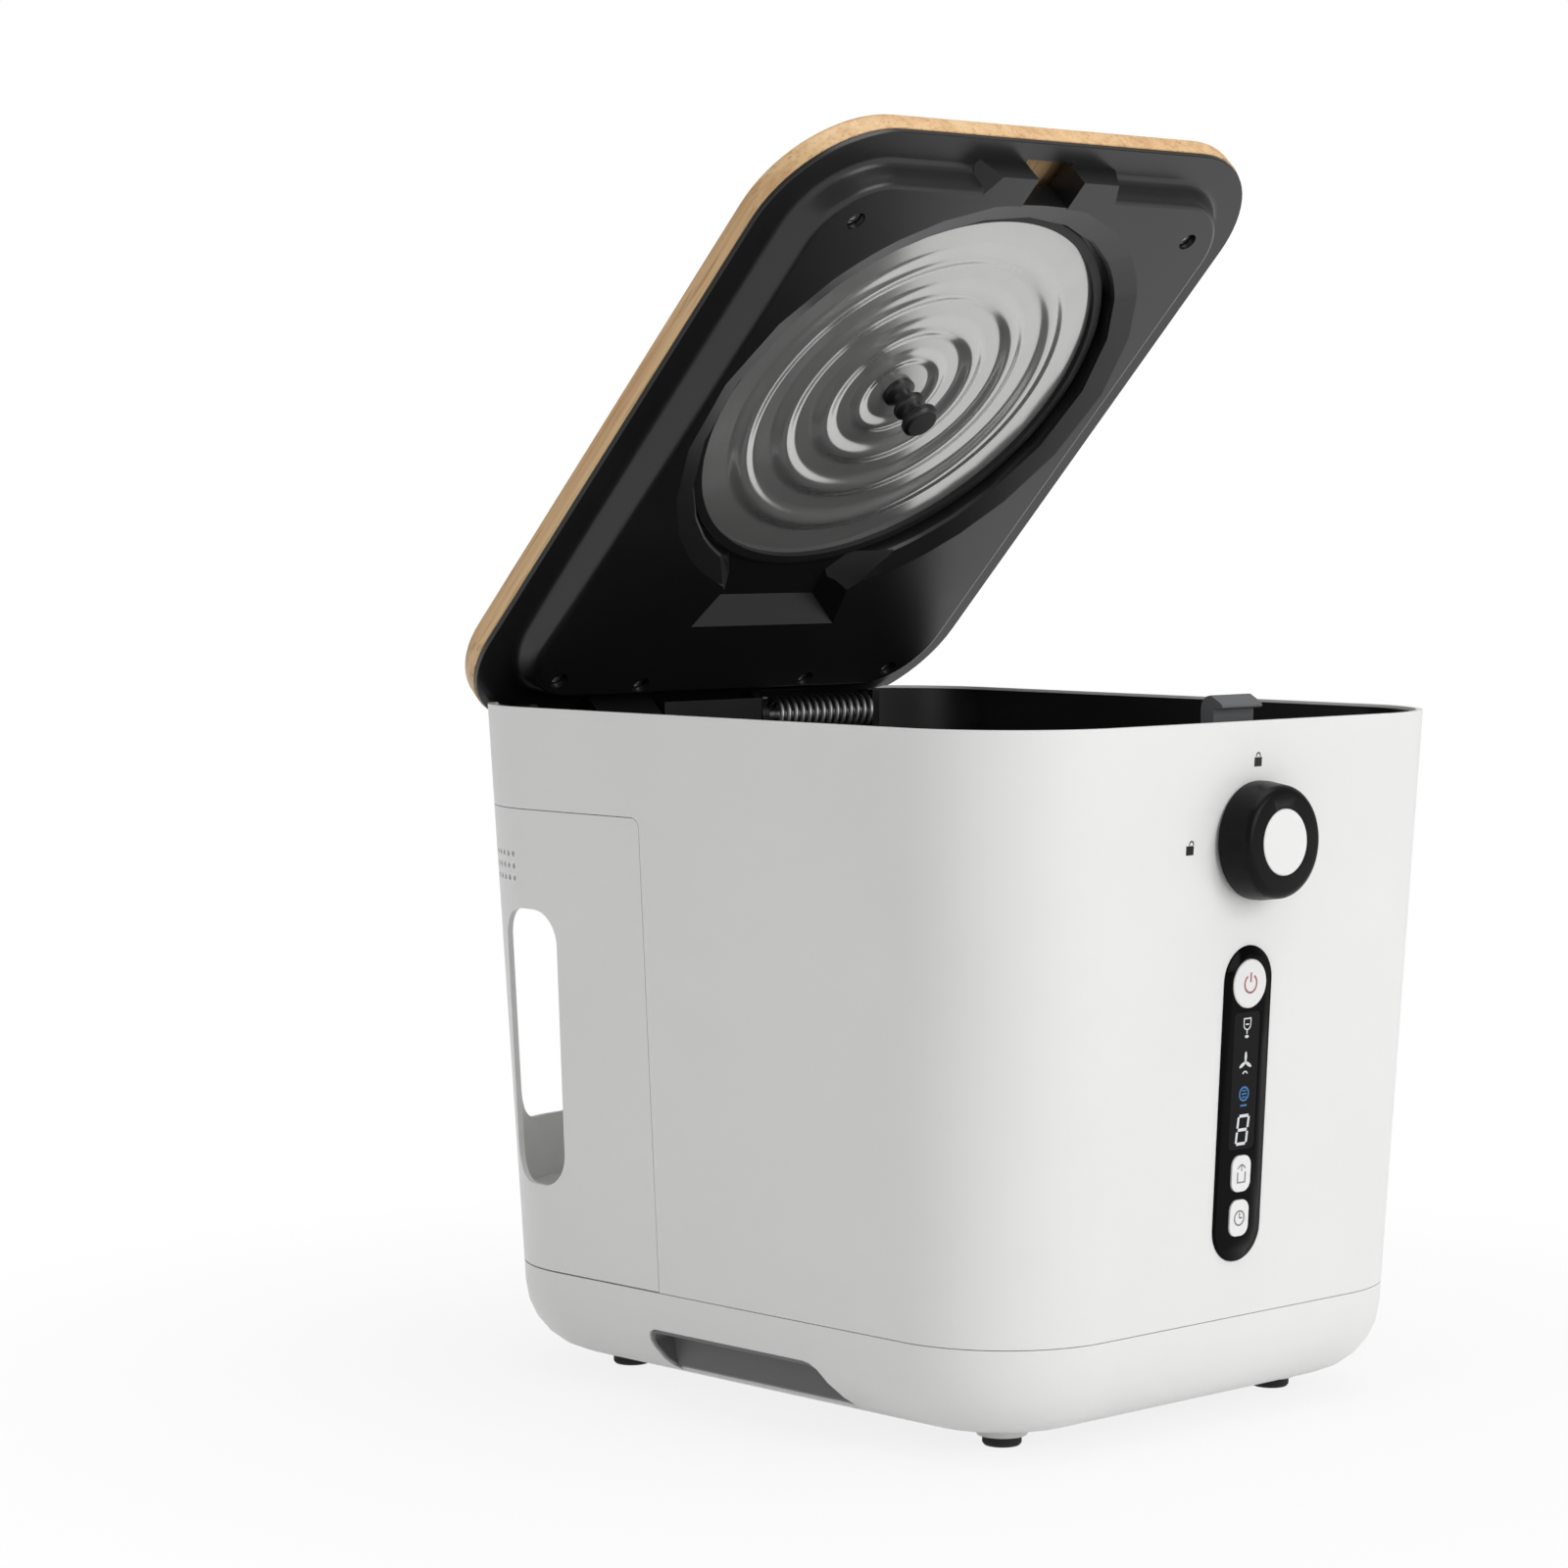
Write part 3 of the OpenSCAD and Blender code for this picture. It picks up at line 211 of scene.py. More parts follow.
def wood(name, axis_turn):
    """Light wood-grain foil: long fibres over slow bands, with short pores."""
    m = Nodes(name)
    turn = m.add("ShaderNodeMapping")
    turn.inputs["Rotation"].default_value = (axis_turn, 0.0, 0.0)
    m.join(m.coords, turn.inputs["Vector"])

    def noise(scale, detail, stretch, distort=0.0):
        s = m.add("ShaderNodeMapping")
        s.inputs["Scale"].default_value = stretch
        m.join(turn.outputs["Vector"], s.inputs["Vector"])
        n = m.add("ShaderNodeTexNoise", Scale=scale, Detail=detail, Roughness=0.55, Distortion=distort)
        m.join(s.outputs["Vector"], n.inputs["Vector"])
        return n.outputs["Fac"]

    bands = noise(30.0, 3.0, (1.0, 0.06, 1.0), 0.6)
    fibres = noise(260.0, 5.0, (1.0, 0.025, 1.0), 0.2)
    pores = noise(700.0, 2.0, (1.0, 0.03, 1.0))
    base = m.ramp(bands, [(0.25, srgb(214, 173, 124)), (0.5, srgb(229, 192, 143)), (0.8, srgb(239, 207, 161))])
    lines = m.ramp(fibres, [(0.3, srgb(204, 164, 128)), (0.55, (1.0, 1.0, 1.0))])
    dots = m.ramp(pores, [(0.33, srgb(200, 168, 140)), (0.42, (1.0, 1.0, 1.0))])
    for source in (lines, dots):
        mix = m.add("ShaderNodeMix")
        mix.data_type = "RGBA"
        mix.blend_type = "MULTIPLY"
        mix.inputs["Factor"].default_value = 0.5
        m.join(base, mix.inputs["A"])
        m.join(source, mix.inputs["B"])
        base = mix.outputs["Result"]
    m.join(base, m.shader.inputs["Base Color"])
    m.join(m.span(fibres, 0.5, 0.36), m.shader.inputs["Roughness"])
    m.bump(fibres, 0.25, 0.00008)
    return m.mat


# Display colour, roughness, grain height, grain scale, colour drift and, if it isn't 0.5, specular level
PLASTICS = {
    "white_plastic": (srgb(243, 243, 242), 0.36, 0.00004, 1200.0, 0.012),
    "black_plastic": (srgb(27, 27, 28), 0.31, 0.00006, 1100.0, 0.10),
    "gloss_black": (srgb(4, 4, 5), 0.14, 0.00001, 500.0, 0.15, 0.05),
    "grey_plastic": (srgb(96, 97, 99), 0.48, 0.00008, 900.0, 0.06),
    "dark_grey_plastic": (srgb(62, 63, 66), 0.45, 0.0001, 1000.0, 0.08),
    "natural_plastic": (srgb(222, 218, 204), 0.45, 0.00004, 600.0, 0.04),
    "feet": (srgb(34, 34, 35), 0.8, 0.00012, 1500.0, 0.12),
    "gasket": (srgb(24, 24, 25), 0.55, 0.00006, 900.0, 0.12),
    "board": (srgb(28, 92, 58), 0.35, 0.00008, 400.0, 0.15),
    "carbon": (srgb(28, 28, 29), 0.85, 0.0006, 420.0, 0.30),
    "glass": (srgb(3, 3, 4), 0.05, 0.000004, 300.0, 0.10, 0.12),
    "coated_aluminium": (srgb(44, 44, 46), 0.38, 0.00012, 1300.0, 0.15, 0.7),
    "knob_black": (srgb(8, 8, 9), 0.34, 0.00004, 1100.0, 0.10, 0.14),
    # The grip liners' grey is darker than their white plastic and partly paints the shade inside the grip
    # recess
    "grip_grey_painted_shade": (srgb(112, 112, 113), 0.5, 0.00006, 900.0, 0.05),
    "ink": (srgb(16, 16, 17), 0.6, 0.00002, 900.0, 0.1),
    "red_ink": (srgb(176, 104, 110), 0.6, 0.00002, 900.0, 0.05),
    "grey_ink": (srgb(138, 140, 144), 0.6, 0.00002, 900.0, 0.05),
}
MATS = {name: plastic(name, *values) for name, values in PLASTICS.items()}
MATS.update({
    "steel": metal("steel", (0.60, 0.60, 0.61), 0.28, (1.0, 0.2, 1.0)),
    "polished_steel": metal("polished_steel", (0.56, 0.56, 0.55), 0.15, bump=0.000001, vary=0.02,
                            metallic=0.70),
    "spring_steel": metal("spring_steel", (0.30, 0.30, 0.30), 0.35),
    "aluminium": metal("aluminium", (0.72, 0.72, 0.73), 0.32, (1.0, 1.0, 0.1)),
    "brass_part": metal("brass_part", (0.80, 0.58, 0.26), 0.25),
    "wood": wood("wood", LID_OPEN),
    "lit_white": glow("lit_white", srgb(190, 194, 196), 0.45),
    "lit_blue": glow("lit_blue", srgb(44, 92, 140), 0.7),
})

slot_of = {s["node"]: s["material_slot"] for s in frame["record"]["subparts"]}
body_of = {n: b for b, members in frame["record"]["behaviour"]["bodies"].items() for n in members}


# Making pieces


CREASE = 38.0
CORNER_STEPS, SIDE_STEPS = 18, 6


def into_row(v):
    """A point of the body's axis frame, in metres in the row's frame."""
    return (v + Vector((0.0, AXIS_Y, 0.0))) * MM


def piece(name, verts, faces, material, body, pose, slot=None, smooth=35.0):
    """A mesh in millimetres in the body's axis frame, posed and moved into the row's frame."""
    mesh = bpy.data.meshes.new(name)
    mesh.from_pydata([tuple(into_row(pose(Vector(v)))) for v in verts], [], faces)
    outward(mesh)
    return finish_piece(linked(name, mesh), material, body, smooth)


def finish_piece(obj, material, body, smooth):
    """Gives a piece its material, shading and body."""
    obj.data.materials.clear()
    obj.data.materials.append(MATS[material])
    smooth_by_angle(obj, smooth)
    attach(obj, body)
    return obj


def smooth_by_angle(obj, degrees):
    mesh = obj.data
    for p in mesh.polygons:
        p.use_smooth = True
    mesh.set_sharp_from_angle(angle=math.radians(degrees))


def edit_mesh(mesh, change):
    bm = bmesh.new()
    bm.from_mesh(mesh)
    change(bm)
    bm.to_mesh(mesh)
    bm.free()


def outward(mesh):
    edit_mesh(mesh, lambda bm: bmesh.ops.recalc_face_normals(bm, faces=bm.faces))


def weld(mesh, gap, flat):
    """Joins points closer than a gap, and faces that meet within flat degrees."""

    def change(bm):
        bmesh.ops.remove_doubles(bm, verts=bm.verts, dist=gap)
        bmesh.ops.dissolve_limit(bm, angle_limit=math.radians(flat), verts=bm.verts, edges=bm.edges)

    edit_mesh(mesh, change)


def round_edges(obj, width, segments):
    b = obj.modifiers.new("edge", "BEVEL")
    b.width = width
    b.segments = segments
    b.limit_method = "ANGLE"
    b.angle_limit = math.radians(CREASE)
    apply_modifiers(obj)


def dress(node, bevel, material=None):
    """A welded copy of a CAD node with softened edges, which stands for the node."""
    mesh = nodes[node].data.copy()
    weld(mesh, 0.000002, 0.4)
    obj = linked(node + "_skin", mesh)
    if bevel:
        round_edges(obj, bevel * MM, 2)
    finish_piece(obj, material or slot_of[node], body_of[node], 32.0)
    if bevel:
        even_shading(obj)
    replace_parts(obj, node)


def even_shading(obj):
    """Lets large faces lead the shading, so long thin ones beside them cast no streaks."""
    w = obj.modifiers.new("even", "WEIGHTED_NORMAL")
    w.mode = "FACE_AREA"
    w.weight = 50
    w.keep_sharp = True
    apply_modifiers(obj)


def apply_modifiers(obj):
    bpy.context.view_layer.update()
    graph = bpy.context.evaluated_depsgraph_get()
    mesh = bpy.data.meshes.new_from_object(obj.evaluated_get(graph))
    obj.modifiers.clear()
    obj.data = mesh


def rounded_ring(w, d, r, cy):
    """Points round a rounded rectangle, counter-clockwise, with the same count for every size."""
    out = []
    corners = [(1, 1, 0), (-1, 1, 90), (-1, -1, 180), (1, -1, 270)]

    def on_arc(corner, turn):
        sx, sy, start = corner
        a = math.radians(start + turn)
        return sx * (w / 2 - r) + r * math.cos(a), sy * (d / 2 - r) + r * math.sin(a) + cy

    for i, corner in enumerate(corners):
        out += [on_arc(corner, 90.0 * k / CORNER_STEPS) for k in range(CORNER_STEPS + 1)]
        end, nxt = out[-1], on_arc(corners[(i + 1) % 4], 0.0)
        for k in range(1, SIDE_STEPS):
            t = k / SIDE_STEPS
            out.append((end[0] + (nxt[0] - end[0]) * t, end[1] + (nxt[1] - end[1]) * t))
    return out


def loft(rings, capped=True):
    """Verts and faces of a skin over rings of 3-D points with equal counts."""
    n = len(rings[0])
    verts = [p for ring in rings for p in ring]
    faces = [(i * n + k, i * n + (k + 1) % n, (i + 1) * n + (k + 1) % n, (i + 1) * n + k)
             for i in range(len(rings) - 1) for k in range(n)]
    if capped:
        faces.append(tuple(reversed(range(n))))
        faces.append(tuple(range((len(rings) - 1) * n, len(rings) * n)))
    return verts, faces


def circle(steps):
    """Cosine and sine at equal steps round a full turn."""
    turns = [2 * math.pi * k / steps for k in range(steps)]
    return [(math.cos(a), math.sin(a)) for a in turns]


def spun(profile, steps):
    """Verts and faces of a profile of (radius, height) that starts and ends on z, spun about it."""
    return loft([[(r * c, r * s, z) for c, s in circle(steps)] for r, z in profile], capped=False)


def opened(v):
    """A point of the shut lid, in the open lid's place."""
    return Matrix.Rotation(-LID_OPEN, 3, "X") @ (v - HINGE) + HINGE


def on_front(z):
    """Turns (across, up the wall, outwards) into the body's axis frame."""
    base = Vector((0.0, -RIM_D / 2 * share(z), z))
    turn = Matrix.Rotation(math.radians(90.0) + FRONT_LEAN, 3, "X")
    return lambda v: base + turn @ v


# The wood-grain lid


def lid_ring(inset, z):
    ring = rounded_ring(LID_W - 2 * inset, LID_D - 2 * inset, LID_R - inset, LID_MID)
    return [(x, y, z) for x, y in ring]


EDGE_R = 4.0
EDGE_STEPS = 8
CEILING_T = 2.6


def build_lid():
    """A hollow cap: its ceiling, the thin foot of its wall, the wall, and the round top edge."""
    top = LID_Z + LID_T
    foot = ((2.2, top - CEILING_T), (2.0, LID_Z + 0.25), (1.75, LID_Z), (0.35, LID_Z), (0.1, LID_Z + 0.1),
            (0.0, LID_Z + 0.4), (0.0, top - EDGE_R))
    rings = [lid_ring(inset, z) for inset, z in foot]
    for k in range(1, EDGE_STEPS + 1):
        a = math.radians(90.0 * k / EDGE_STEPS)
        rings.append(lid_ring(EDGE_R * (1 - math.cos(a)), top - EDGE_R + EDGE_R * math.sin(a)))
    return piece("lid_wood", *loft(rings), "wood", "lid", pose=opened)


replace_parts(build_lid(), "lid_cover")

# The liner


def raw(name, verts, faces):
    """A loose mesh in millimetres, for cutting and joining before it is placed."""
    mesh = bpy.data.meshes.new(name)
    mesh.from_pydata(verts, [], faces)
    outward(mesh)
    return linked(name, mesh)


def combine(obj, other, operation):
    """Cuts or joins another loose mesh, which is used up."""
    m = obj.modifiers.new("combine", "BOOLEAN")
    m.operation = operation
    m.solver = "EXACT"
    m.object = other
    apply_modifiers(obj)
    bpy.data.objects.remove(other)


def place(obj, pose, material, body, smooth):
    """Poses a loose mesh and moves it into the row's frame."""
    for v in obj.data.vertices:
        v.co = into_row(pose(v.co.copy()))
    outward(obj.data)
    finish_piece(obj, material, body, smooth)


def rect(x0, y0, x1, y1):
    return [(x0, y0), (x1, y0), (x1, y1), (x0, y1)]


def prism(low, high, z0, z1):
    """A solid between an outline at z0 and another, of as many points, at z1."""
    return loft([[(x, y, z0) for x, y in low], [(x, y, z1) for x, y in high]])


FACE_Z = LID_Z - 12.0
FLANGE_Z = LID_Z - 2.0
WALL_H = 14.0
MOUTH_R, RECESS_R, DISC_HOLE_R = 108.0, 98.0, 96.4
FACE_HALF_W, FACE_Y0, FACE_Y1, FACE_R = 113.3, -146.0, 131.0, 30.0
# How much wider, further forward, further back and rounder the foot of the wall is than the face
FOOT_X, FOOT_Y0, FOOT_Y1, FOOT_R = 8.5, 4.0, 6.0, 8.0
SHOULDER_R, SHOULDER_STEPS = 2.6, 6
NOTCH_HALF_W, NOTCH_Y0, NOTCH_Y1 = 13.0, -155.3, -140.8
NOSE_Y0, NOSE_Y1 = -161.0, -150.0
BOSS_X, BOSS_Y0, BOSS_Y1, BOSS_LEAN = 40.0, -153.7, -140.0, 7.0
SCREWS = ((94.7, -127.7), (95.0, 121.0), (47.5, 125.5))
SCREW_HOLE_R = 4.0
# Air way from the recess to the rear: half width and y of its front edge, then of its rear edge
THROAT = ((62, 44, 28, 80), (44, 44, 25, 72))
AIR_END = ((26, 30, 42, 92), (24, 30, 29, 82))


def plateau_ring(z, s, inset=0.0):
    """Outline of the liner's raised face, drawn out as it goes a share s down its wall."""
    w = 2 * (FACE_HALF_W + FOOT_X * s - inset)
    y0, y1 = FACE_Y0 - FOOT_Y0 * s + inset, FACE_Y1 + FOOT_Y1 * s - inset
    return [(x, y, z) for x, y in rounded_ring(w, y1 - y0, FACE_R + FOOT_R * s - inset, (y0 + y1) / 2)]


def circle_like(ring, r, z):
    """A circle round the disc's middle, with its points in the directions of the ring's."""
    out = []
    for x, y, _ in ring:
        a = math.atan2(y - DISC_Y, x)
        out.append((r * math.cos(a), r * math.sin(a) + DISC_Y, z))
    return out


def liner_rings():
    """From the back of the flange round its rim, down the wall, over the face and into the recess."""
    rim = ((2.4, LID_Z + 1.6), (2.4, LID_Z), (0.6, LID_Z), (0.6, FLANGE_Z + 0.3), (0.9, FLANGE_Z))
    rings = [lid_ring(inset, z) for inset, z in rim]
    # Hollow curve from the flange into the wall, then a round shoulder into the face
    for out, rise in ((3.0, 0.0), (1.6, 0.25), (0.6, 0.9), (0.0, 2.2)):
        s = (FLANGE_Z - FACE_Z - rise) / WALL_H
        rings.append(plateau_ring(FLANGE_Z - rise, s, -out))
    for s in (0.45, 0.30):
        rings.append(plateau_ring(FACE_Z + s * WALL_H, s))
    for k in range(1, SHOULDER_STEPS + 1):
        a = math.radians(90.0 * k / SHOULDER_STEPS)
        lift = SHOULDER_R * (1 - math.sin(a))
        rings.append(plateau_ring(FACE_Z + lift, lift / WALL_H, SHOULDER_R * (1 - math.cos(a)) * 0.8))
    recess = ((MOUTH_R + 0.5, FACE_Z), (MOUTH_R - 0.2, FACE_Z + 0.25), (RECESS_R + 1.0, FACE_Z + 2.8),
              (RECESS_R, FACE_Z + 4.0), (RECESS_R, FLANGE_Z), (DISC_HOLE_R, FLANGE_Z),
              (DISC_HOLE_R, FLANGE_Z + 1.2))
    face = rings[-1]
    return rings + [circle_like(face, r, z) for r, z in recess]


def build_liner():
    """The moulded liner with its air way, two bosses, the notch for the hook and the screw holes."""
    liner = raw("lid_liner_skin", *loft(liner_rings()))
    for mouth, base in (THROAT, AIR_END):
        low, high = [[(-a, b), (a, b), (c, d), (-c, d)] for a, b, c, d in (mouth, base)]
        combine(liner, raw("air", *prism(low, high, FACE_Z - 1.0, FLANGE_Z - 0.3)), "DIFFERENCE")
    for side in (-1, 1):
        x0, x1 = sorted((side * NOTCH_HALF_W, side * BOSS_X))
        high = rect(x0, BOSS_Y0, x1, BOSS_Y1)
        low = list(high)
        outer = 1 if side > 0 else 0
        low[outer] = (low[outer][0] - side * BOSS_LEAN, low[outer][1])
        combine(liner, raw("boss", *prism(low, high, FACE_Z - 0.02, LID_Z + 0.5)), "UNION")
    for y0, y1, z0 in ((NOTCH_Y0, NOTCH_Y1, FACE_Z - 2), (NOSE_Y0, NOSE_Y1, LID_Z)):
        plan = rect(-NOTCH_HALF_W, y0, NOTCH_HALF_W, y1)
        combine(liner, raw("notch", *prism(plan, plan, z0, LID_Z + 3)), "DIFFERENCE")
    for side in (-1, 1):
        for x, y in SCREWS:
            plan = [(side * x + SCREW_HOLE_R * c, y + SCREW_HOLE_R * s) for c, s in circle(24)]
            combine(liner, raw("hole", *prism(plan, plan, FACE_Z - 1, FACE_Z + 5)), "DIFFERENCE")
    weld(liner.data, 0.002, 0.3)
    round_edges(liner, 0.7, 3)
    place(liner, opened, "black_plastic", "lid", 30.0)
    even_shading(liner)
    return liner


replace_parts(build_liner(), "lid_liner")

# The pressed disc

# Each ring is its middle radius, its height and half its width
RINGS = [(73.0, 1.8, 7.0), (54.0, 1.8, 7.0), (35.0, 1.8, 7.0), (19.0, 1.2, 5.0)]
DISC_R, DISC_T = 96.0, 0.8
DISC_STEPS = 260


def disc_height(r):
    for middle, high, half in RINGS:
        if abs(r - middle) < half:
            return -high * (1 + math.cos(math.pi * (r - middle) / half)) / 2
    return 0.0


radii = [DISC_R * k / DISC_STEPS for k in range(DISC_STEPS + 1)]
outline = [(r, FLANGE_Z + disc_height(r)) for r in radii]
outline += [(DISC_R, FLANGE_Z + DISC_T), (0.0, FLANGE_Z + DISC_T)]
disc = piece("lid_mirror_disc", *spun(outline, 160), "polished_steel", "lid", smooth=60.0,
             pose=lambda v: opened(v + Vector((0.0, DISC_Y, 0.0))))
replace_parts(disc, "lid_disc")

# The lid spring

SPRING_R, WIRE = 7.4, 2.4
SPRING_X0, SPRING_X1 = 33.8, 96.98
CURLS = 14
CURL_STEPS = 32


def tube(route, r, sides):
    """A skin round a route of points that winds about the x axis."""
    rings = []
    for i, p in enumerate(route):
        a, b = route[max(i - 1, 0)], route[min(i + 1, len(route) - 1)]
        t = (b - a).normalized()
        out = Vector((0.0, p.y, p.z))
        n = (out - t * out.dot(t)).normalized()
        c = t.cross(n)
        rings.append([tuple(p + r * (cos * n + sin * c)) for cos, sin in circle(sides)])
    return loft(rings)


def spring_route():
    """A straight start, the curls and a straight end, all along x."""
    route = []
    length = SPRING_X1 - SPRING_X0 - 2 * WIRE
    last = CURLS * CURL_STEPS
    for i in range(-1, last + 2):
        j = min(max(i, 0), last)
        a = 2 * math.pi * j / CURL_STEPS
        x = SPRING_X0 + WIRE + length * j / last
        x += -WIRE if i < 0 else WIRE if i > last else 0.0
        route.append(Vector((x, SPRING_R * math.sin(a), SPRING_R * math.cos(a))))
    return route


coil = piece("lid_spring_coil", *tube(spring_route(), WIRE / 2, 12), "spring_steel", "housing", smooth=60.0,
             pose=lambda v: v + HINGE)
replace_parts(coil, "lid_spring")

# Marks on the front


PRINT_T = 0.05
CURVE_STEPS = 28


def band(cx, cy, r0, r1, start, stop, squash=1.0):
    """A bent stroke between two radii, as one outline."""
    angles = [math.radians(start + (stop - start) * k / CURVE_STEPS) for k in range(CURVE_STEPS + 1)]
    outer = [(cx + r1 * math.cos(a), cy + squash * r1 * math.sin(a)) for a in angles]
    inner = [(cx + r0 * math.cos(a), cy + squash * r0 * math.sin(a)) for a in reversed(angles)]
    return outer + inner


def blob(cx, cy, rx, ry, turn=0.0):
    """An oval turned by some degrees."""
    t = math.radians(turn)
    out = []
    for c, s in circle(CURVE_STEPS):
        x, y = rx * c, ry * s
        out.append((cx + x * math.cos(t) - y * math.sin(t), cy + x * math.sin(t) + y * math.cos(t)))
    return out


def print_on(name, shapes, where, lift, material, body):
    """Flat printed shapes, each an outline in the plane, standing a hair above the face."""
    verts, faces = [], []
    for outline in shapes:
        n, base = len(outline), len(verts)
        verts += [(x, y, lift) for x, y in outline] + [(x, y, lift + PRINT_T) for x, y in outline]
        faces.append(tuple(base + k for k in reversed(range(n))))
        faces.append(tuple(base + n + k for k in range(n)))
        faces += [(base + k, base + (k + 1) % n, base + n + (k + 1) % n, base + n + k) for k in range(n)]
    piece(name, verts, faces, material, body, slot=slot_of["display_window"], smooth=30.0, pose=where)


PANEL_Z, KNOB_Z = 126.5, 227.0
LOCK_SCALE = 0.92
LOCK_LIFT = 0.01
panel = on_front(PANEL_Z)
lock_place = on_front(KNOB_Z)


def padlock(cx, cy, open_shift):
    """A small lock sign whose bow stands aside by open_shift."""
    k = LOCK_SCALE
    return [rect(cx - 2.3 * k, cy - 2.6 * k, cx + 2.3 * k, cy + 1.2 * k),
            band(cx + open_shift, cy + 1.6 * k, 0.95 * k, 1.5 * k, -8, 188, 1.15)]


print_on("mark_locked", padlock(0.0, 30.2, 0.0), lock_place, LOCK_LIFT, "ink", "housing")
print_on("mark_unlocked", padlock(-36.6, -1.4, 0.8), lock_place, LOCK_LIFT, "ink", "housing")

# Height of the strip's face and of the buttons' caps over the wall
GLASS, CAP = 1.11, 1.81


def icon(name, shapes, z, material, lift=GLASS, body="housing", k=1.0):
    """A printed sign whose middle is at the height z, drawn k times as large."""
    up = z - PANEL_Z
    print_on(name, [[(k * x, k * y + up) for x, y in s] for s in shapes], panel, lift, material, body)


icon("icon_bucket", [band(0, 1.6, 2.0, 2.6, 180, 360), rect(-2.6, 1.6, -2.0, 4.0), rect(2.0, 1.6, 2.6, 4.0),
                     rect(-2.6, 4.0, 2.6, 4.6), rect(-1.1, 1.4, 1.1, 2.0), rect(-0.35, -2.6, 0.35, -1.0),
                     blob(0, -3.8, 1.3, 0.7)], 155.7, "lit_white", k=0.85)
icon("icon_fan", [blob(0, 2.6, 0.75, 2.2), blob(-1.9, -0.8, 0.75, 2.2, 120), blob(1.9, -0.8, 0.75, 2.2, 240),
                  blob(0, 0.3, 0.8, 0.8), band(0, -5.2, 1.2, 1.8, 20, 160)], 142.4, "lit_white", k=0.9)
icon("icon_filter", [band(0, 0.6, 2.2, 2.9, 0, 359), rect(-1.5, 0.3, 1.5, 0.9), rect(-1.2, 1.6, 1.2, 2.1),
                     rect(-1.2, -0.9, 1.2, -0.4), rect(-1.8, -4.2, 1.8, -3.5)], 129.9, "lit_blue")


def seven_segments(w, h, t, lean):
    """All the strokes of a display digit, with a small gap between them."""
    g = 0.35
    hw, hh = w / 2, h / 2
    in_x, in_y, low_y = hw - g - t / 2, hh - g - t / 2, g / 2 + t / 2
    bars = [rect(-in_x, y, in_x, y + t) for y in (hh - t, -t / 2, -hh)]
    for x in (-hw, hw - t):
        bars += [rect(x, low_y, x + t, in_y), rect(x, -in_y, x + t, -low_y)]
    return [[(x + lean * y, y) for x, y in b] for b in bars]


icon("digit", seven_segments(7.0, 11.8, 1.15, 0.10), 116.7, "lit_white")
icon("power_symbol", [band(0, 0, 3.0, 3.8, 122, 418), rect(-0.42, 0.6, 0.42, 4.3)],
     172.7, "red_ink", CAP, "power_key")
icon("mode_symbol", [rect(-2.5, -3.0, -1.8, 0.6), rect(1.8, -3.0, 2.5, 0.6), rect(-2.5, -3.6, 2.5, -3.0),
                     band(0, 1.2, 1.8, 2.4, 20, 160), rect(-0.3, 1.0, 0.3, 3.8)],
     99.9, "grey_ink", CAP, "mode_key")
icon("timer_symbol", [band(0, 0, 2.4, 3.1, 0, 359), rect(-0.3, 0.0, 0.3, 2.0), rect(0.0, -0.3, 1.7, 0.3)],
     82.8, "grey_ink", CAP, "timer_key")

# Everything else keeps the solid's own form with softened edges, whose width is given here in millimetres
SOFT_EDGE = 0.2
SOFT = {"outer_shell": 0.45, "corner_cover": 0.45, "base_pan": 0.45, "latch_hook": 0.6, "control_bezel": 0.0,
        "inner_frame": 0.3, "filter_case": 0.5, "knob_body": 0.0}
# The grip liners take a grey that partly paints the shade inside the grip recess
OWN = {"knob_body": "knob_black", "grip_liners": "grip_grey_painted_shade"}
OWN_FORM = {"lid_cover", "lid_disc", "lid_spring", "lid_liner"}
for name in sorted(nodes):
    if name not in OWN_FORM:
        dress(name, SOFT.get(name, SOFT_EDGE), material=OWN.get(name))


# Floor and light

# The floor is white to the camera from FADE_TO metres on, and shows a share of its shadow nearer to the object
FADE_FROM, FADE_TO, FADE_SHARE = 0.16, 0.50, 0.84
AMBIENT = 0.39
# Place, the point it faces, size and watts
LAMPS = {
    "key": ((0.25, -2.2, 0.95), (0.0, 0.0, 0.15), (1.3, 1.3), 19.2),
    "top": ((0.1, -0.3, 1.9), (0.0, 0.0, 0.1), (1.4, 1.4), 14.0),
    "left": ((-1.9, -0.2, 0.8), (0.0, 0.0, 0.15), (1.0, 1.4), 2.6),
}
WHITE = (1.0, 1.0, 1.0, 1.0)


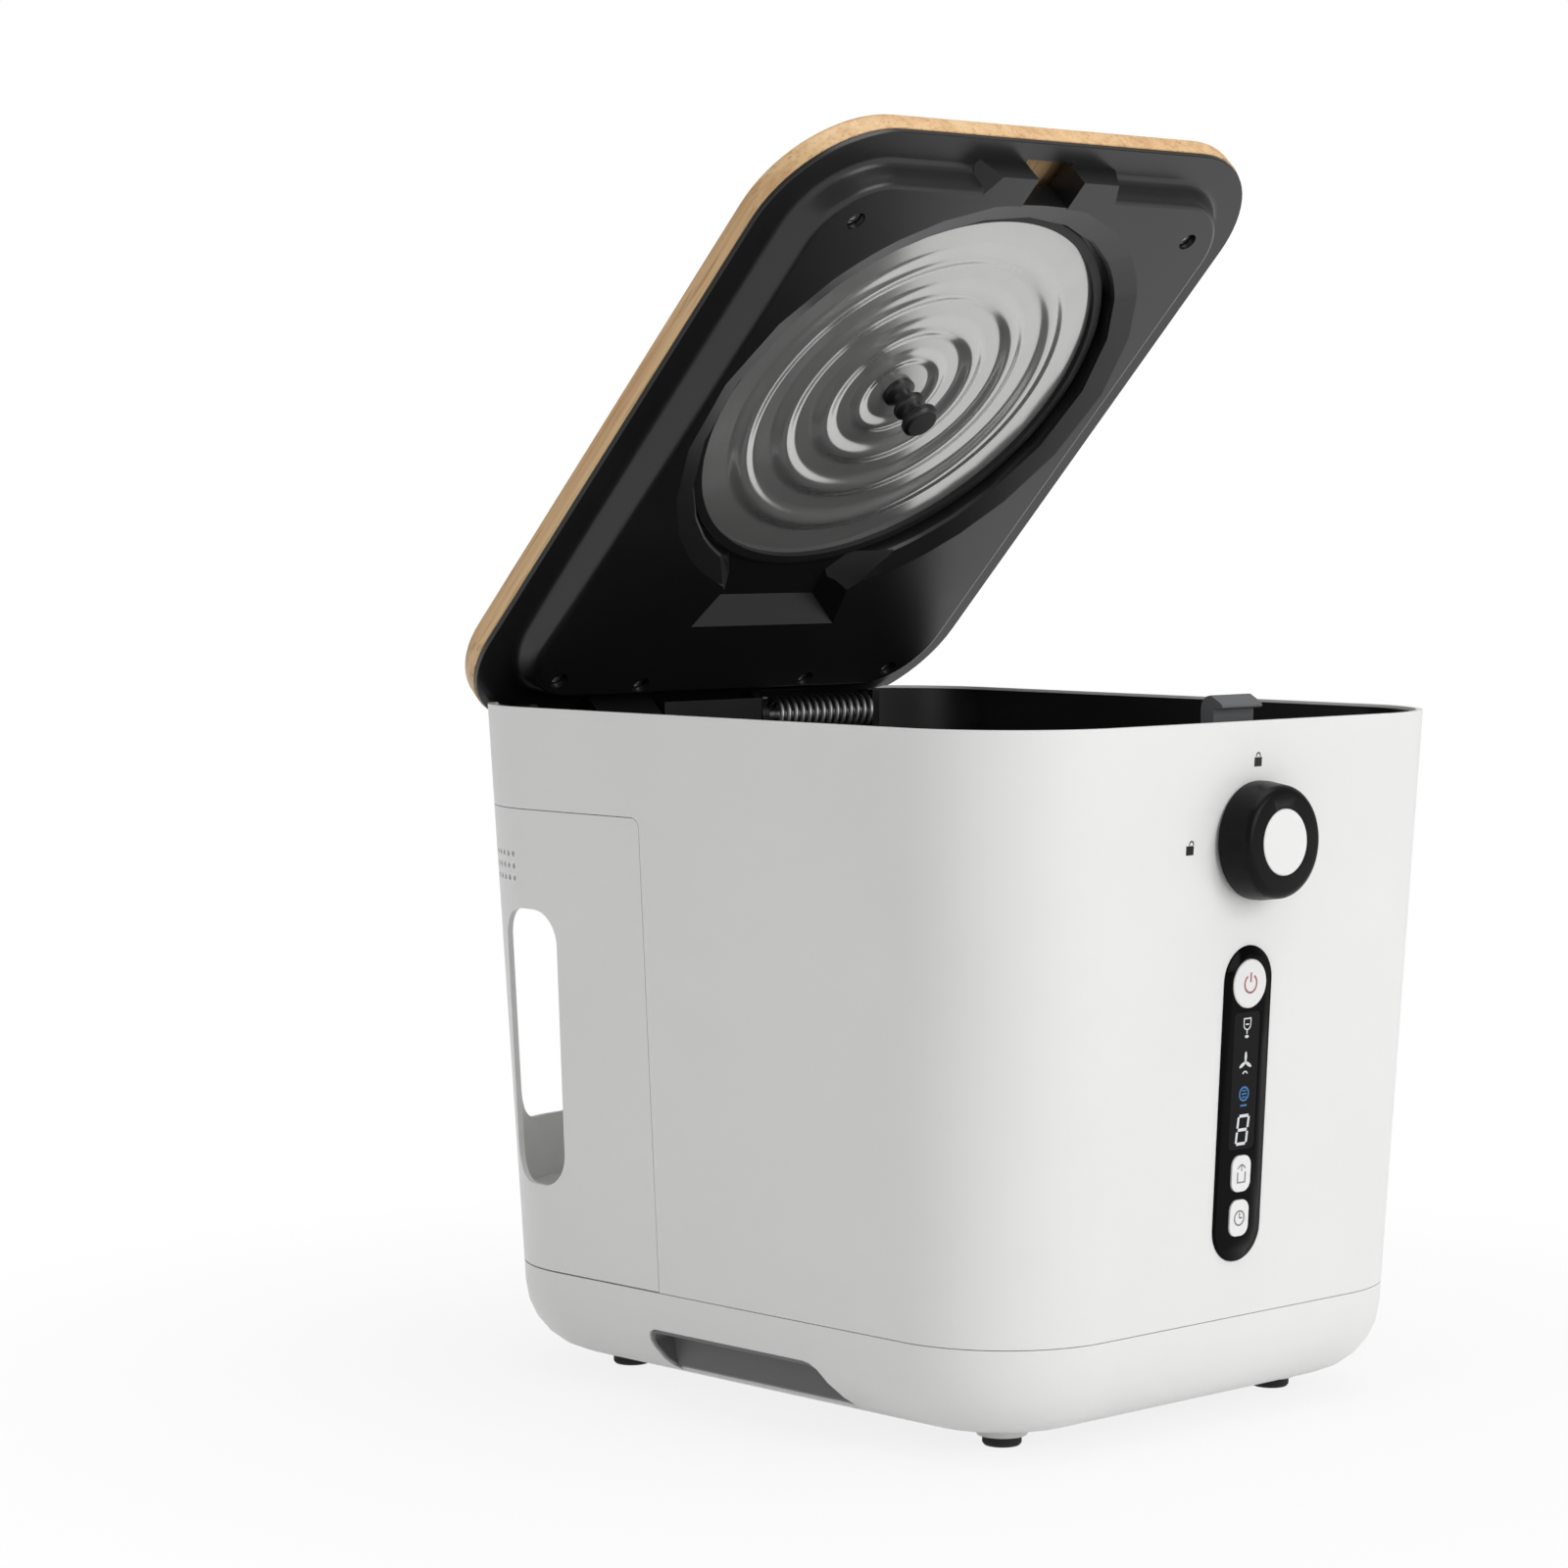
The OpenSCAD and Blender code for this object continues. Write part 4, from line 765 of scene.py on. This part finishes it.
def floor():
    bpy.ops.mesh.primitive_plane_add(size=16.0, location=(0.0, 0.0, -0.0001))
    plane = bpy.context.object
    plane.name = "floor"
    m = Nodes("floor")
    m.set(Roughness=0.9, Specular_IOR_Level=0.1)
    m.join(m.ramp(m.noise(3.0), [(0.0, (0.80, 0.80, 0.80)), (1.0, (0.82, 0.82, 0.82))]),
           m.shader.inputs["Base Color"])
    light = m.add("ShaderNodeLightPath")
    white = m.add("ShaderNodeEmission", Color=WHITE, Strength=1.0)
    both = m.add("ShaderNodeMath")
    both.operation = "MAXIMUM"
    m.join(light.outputs["Is Camera Ray"], both.inputs[0])
    m.join(light.outputs["Is Glossy Ray"], both.inputs[1])
    part = m.add("ShaderNodeMath")
    part.operation = "MULTIPLY"
    far = m.add("ShaderNodeVectorMath")
    far.operation = "LENGTH"
    m.join(m.coords, far.inputs[0])
    fade = m.add("ShaderNodeMapRange")
    fade.inputs["From Min"].default_value = FADE_FROM
    fade.inputs["From Max"].default_value = FADE_TO
    fade.inputs["To Min"].default_value = FADE_SHARE
    fade.inputs["To Max"].default_value = 1.0
    m.join(far.outputs["Value"], fade.inputs["Value"])
    m.join(fade.outputs["Result"], part.inputs[1])
    m.join(both.outputs[0], part.inputs[0])
    mix = m.add("ShaderNodeMixShader")
    m.join(part.outputs[0], mix.inputs["Fac"])
    m.join(m.shader.outputs["BSDF"], mix.inputs[1])
    m.join(white.outputs["Emission"], mix.inputs[2])
    m.join(mix.outputs["Shader"], m.tree.nodes["Material Output"].inputs["Surface"])
    plane.data.materials.append(m.mat)
    plane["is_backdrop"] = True


def surroundings():
    """A world that lights softly and is white to the camera."""
    world = bpy.data.worlds.new("studio")
    bpy.context.scene.world = world
    world.use_nodes = True
    tree = world.node_tree
    ambient = tree.nodes["Background"]
    ambient.inputs["Color"].default_value = WHITE
    ambient.inputs["Strength"].default_value = AMBIENT
    seen = tree.nodes.new("ShaderNodeBackground")
    seen.inputs["Color"].default_value = WHITE
    path = tree.nodes.new("ShaderNodeLightPath")
    mix = tree.nodes.new("ShaderNodeMixShader")
    tree.links.new(path.outputs["Is Camera Ray"], mix.inputs["Fac"])
    tree.links.new(ambient.outputs["Background"], mix.inputs[1])
    tree.links.new(seen.outputs["Background"], mix.inputs[2])
    tree.links.new(mix.outputs["Shader"], tree.nodes["World Output"].inputs["Surface"])


def lamp(name, at, target, size, power):
    data = bpy.data.lights.new(name, "AREA")
    data.shape = "RECTANGLE"
    data.size, data.size_y = size
    data.energy = power
    obj = linked(name, data)
    obj.location = at
    obj.rotation_euler = (Vector(target) - Vector(at)).to_track_quat("-Z", "Y").to_euler()


floor()
surroundings()
for lamp_name, values in LAMPS.items():
    lamp(lamp_name, *values)

bpy.context.scene.view_settings.view_transform = "Standard"

size = {"cad": cad_box, "visual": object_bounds()}


def plain(v):
    """Nested vectors as lists of numbers."""
    return [plain(i) for i in v] if hasattr(v, "__len__") and not isinstance(v, str) else float(v)


{k: plain(v) for k, v in size.items()}
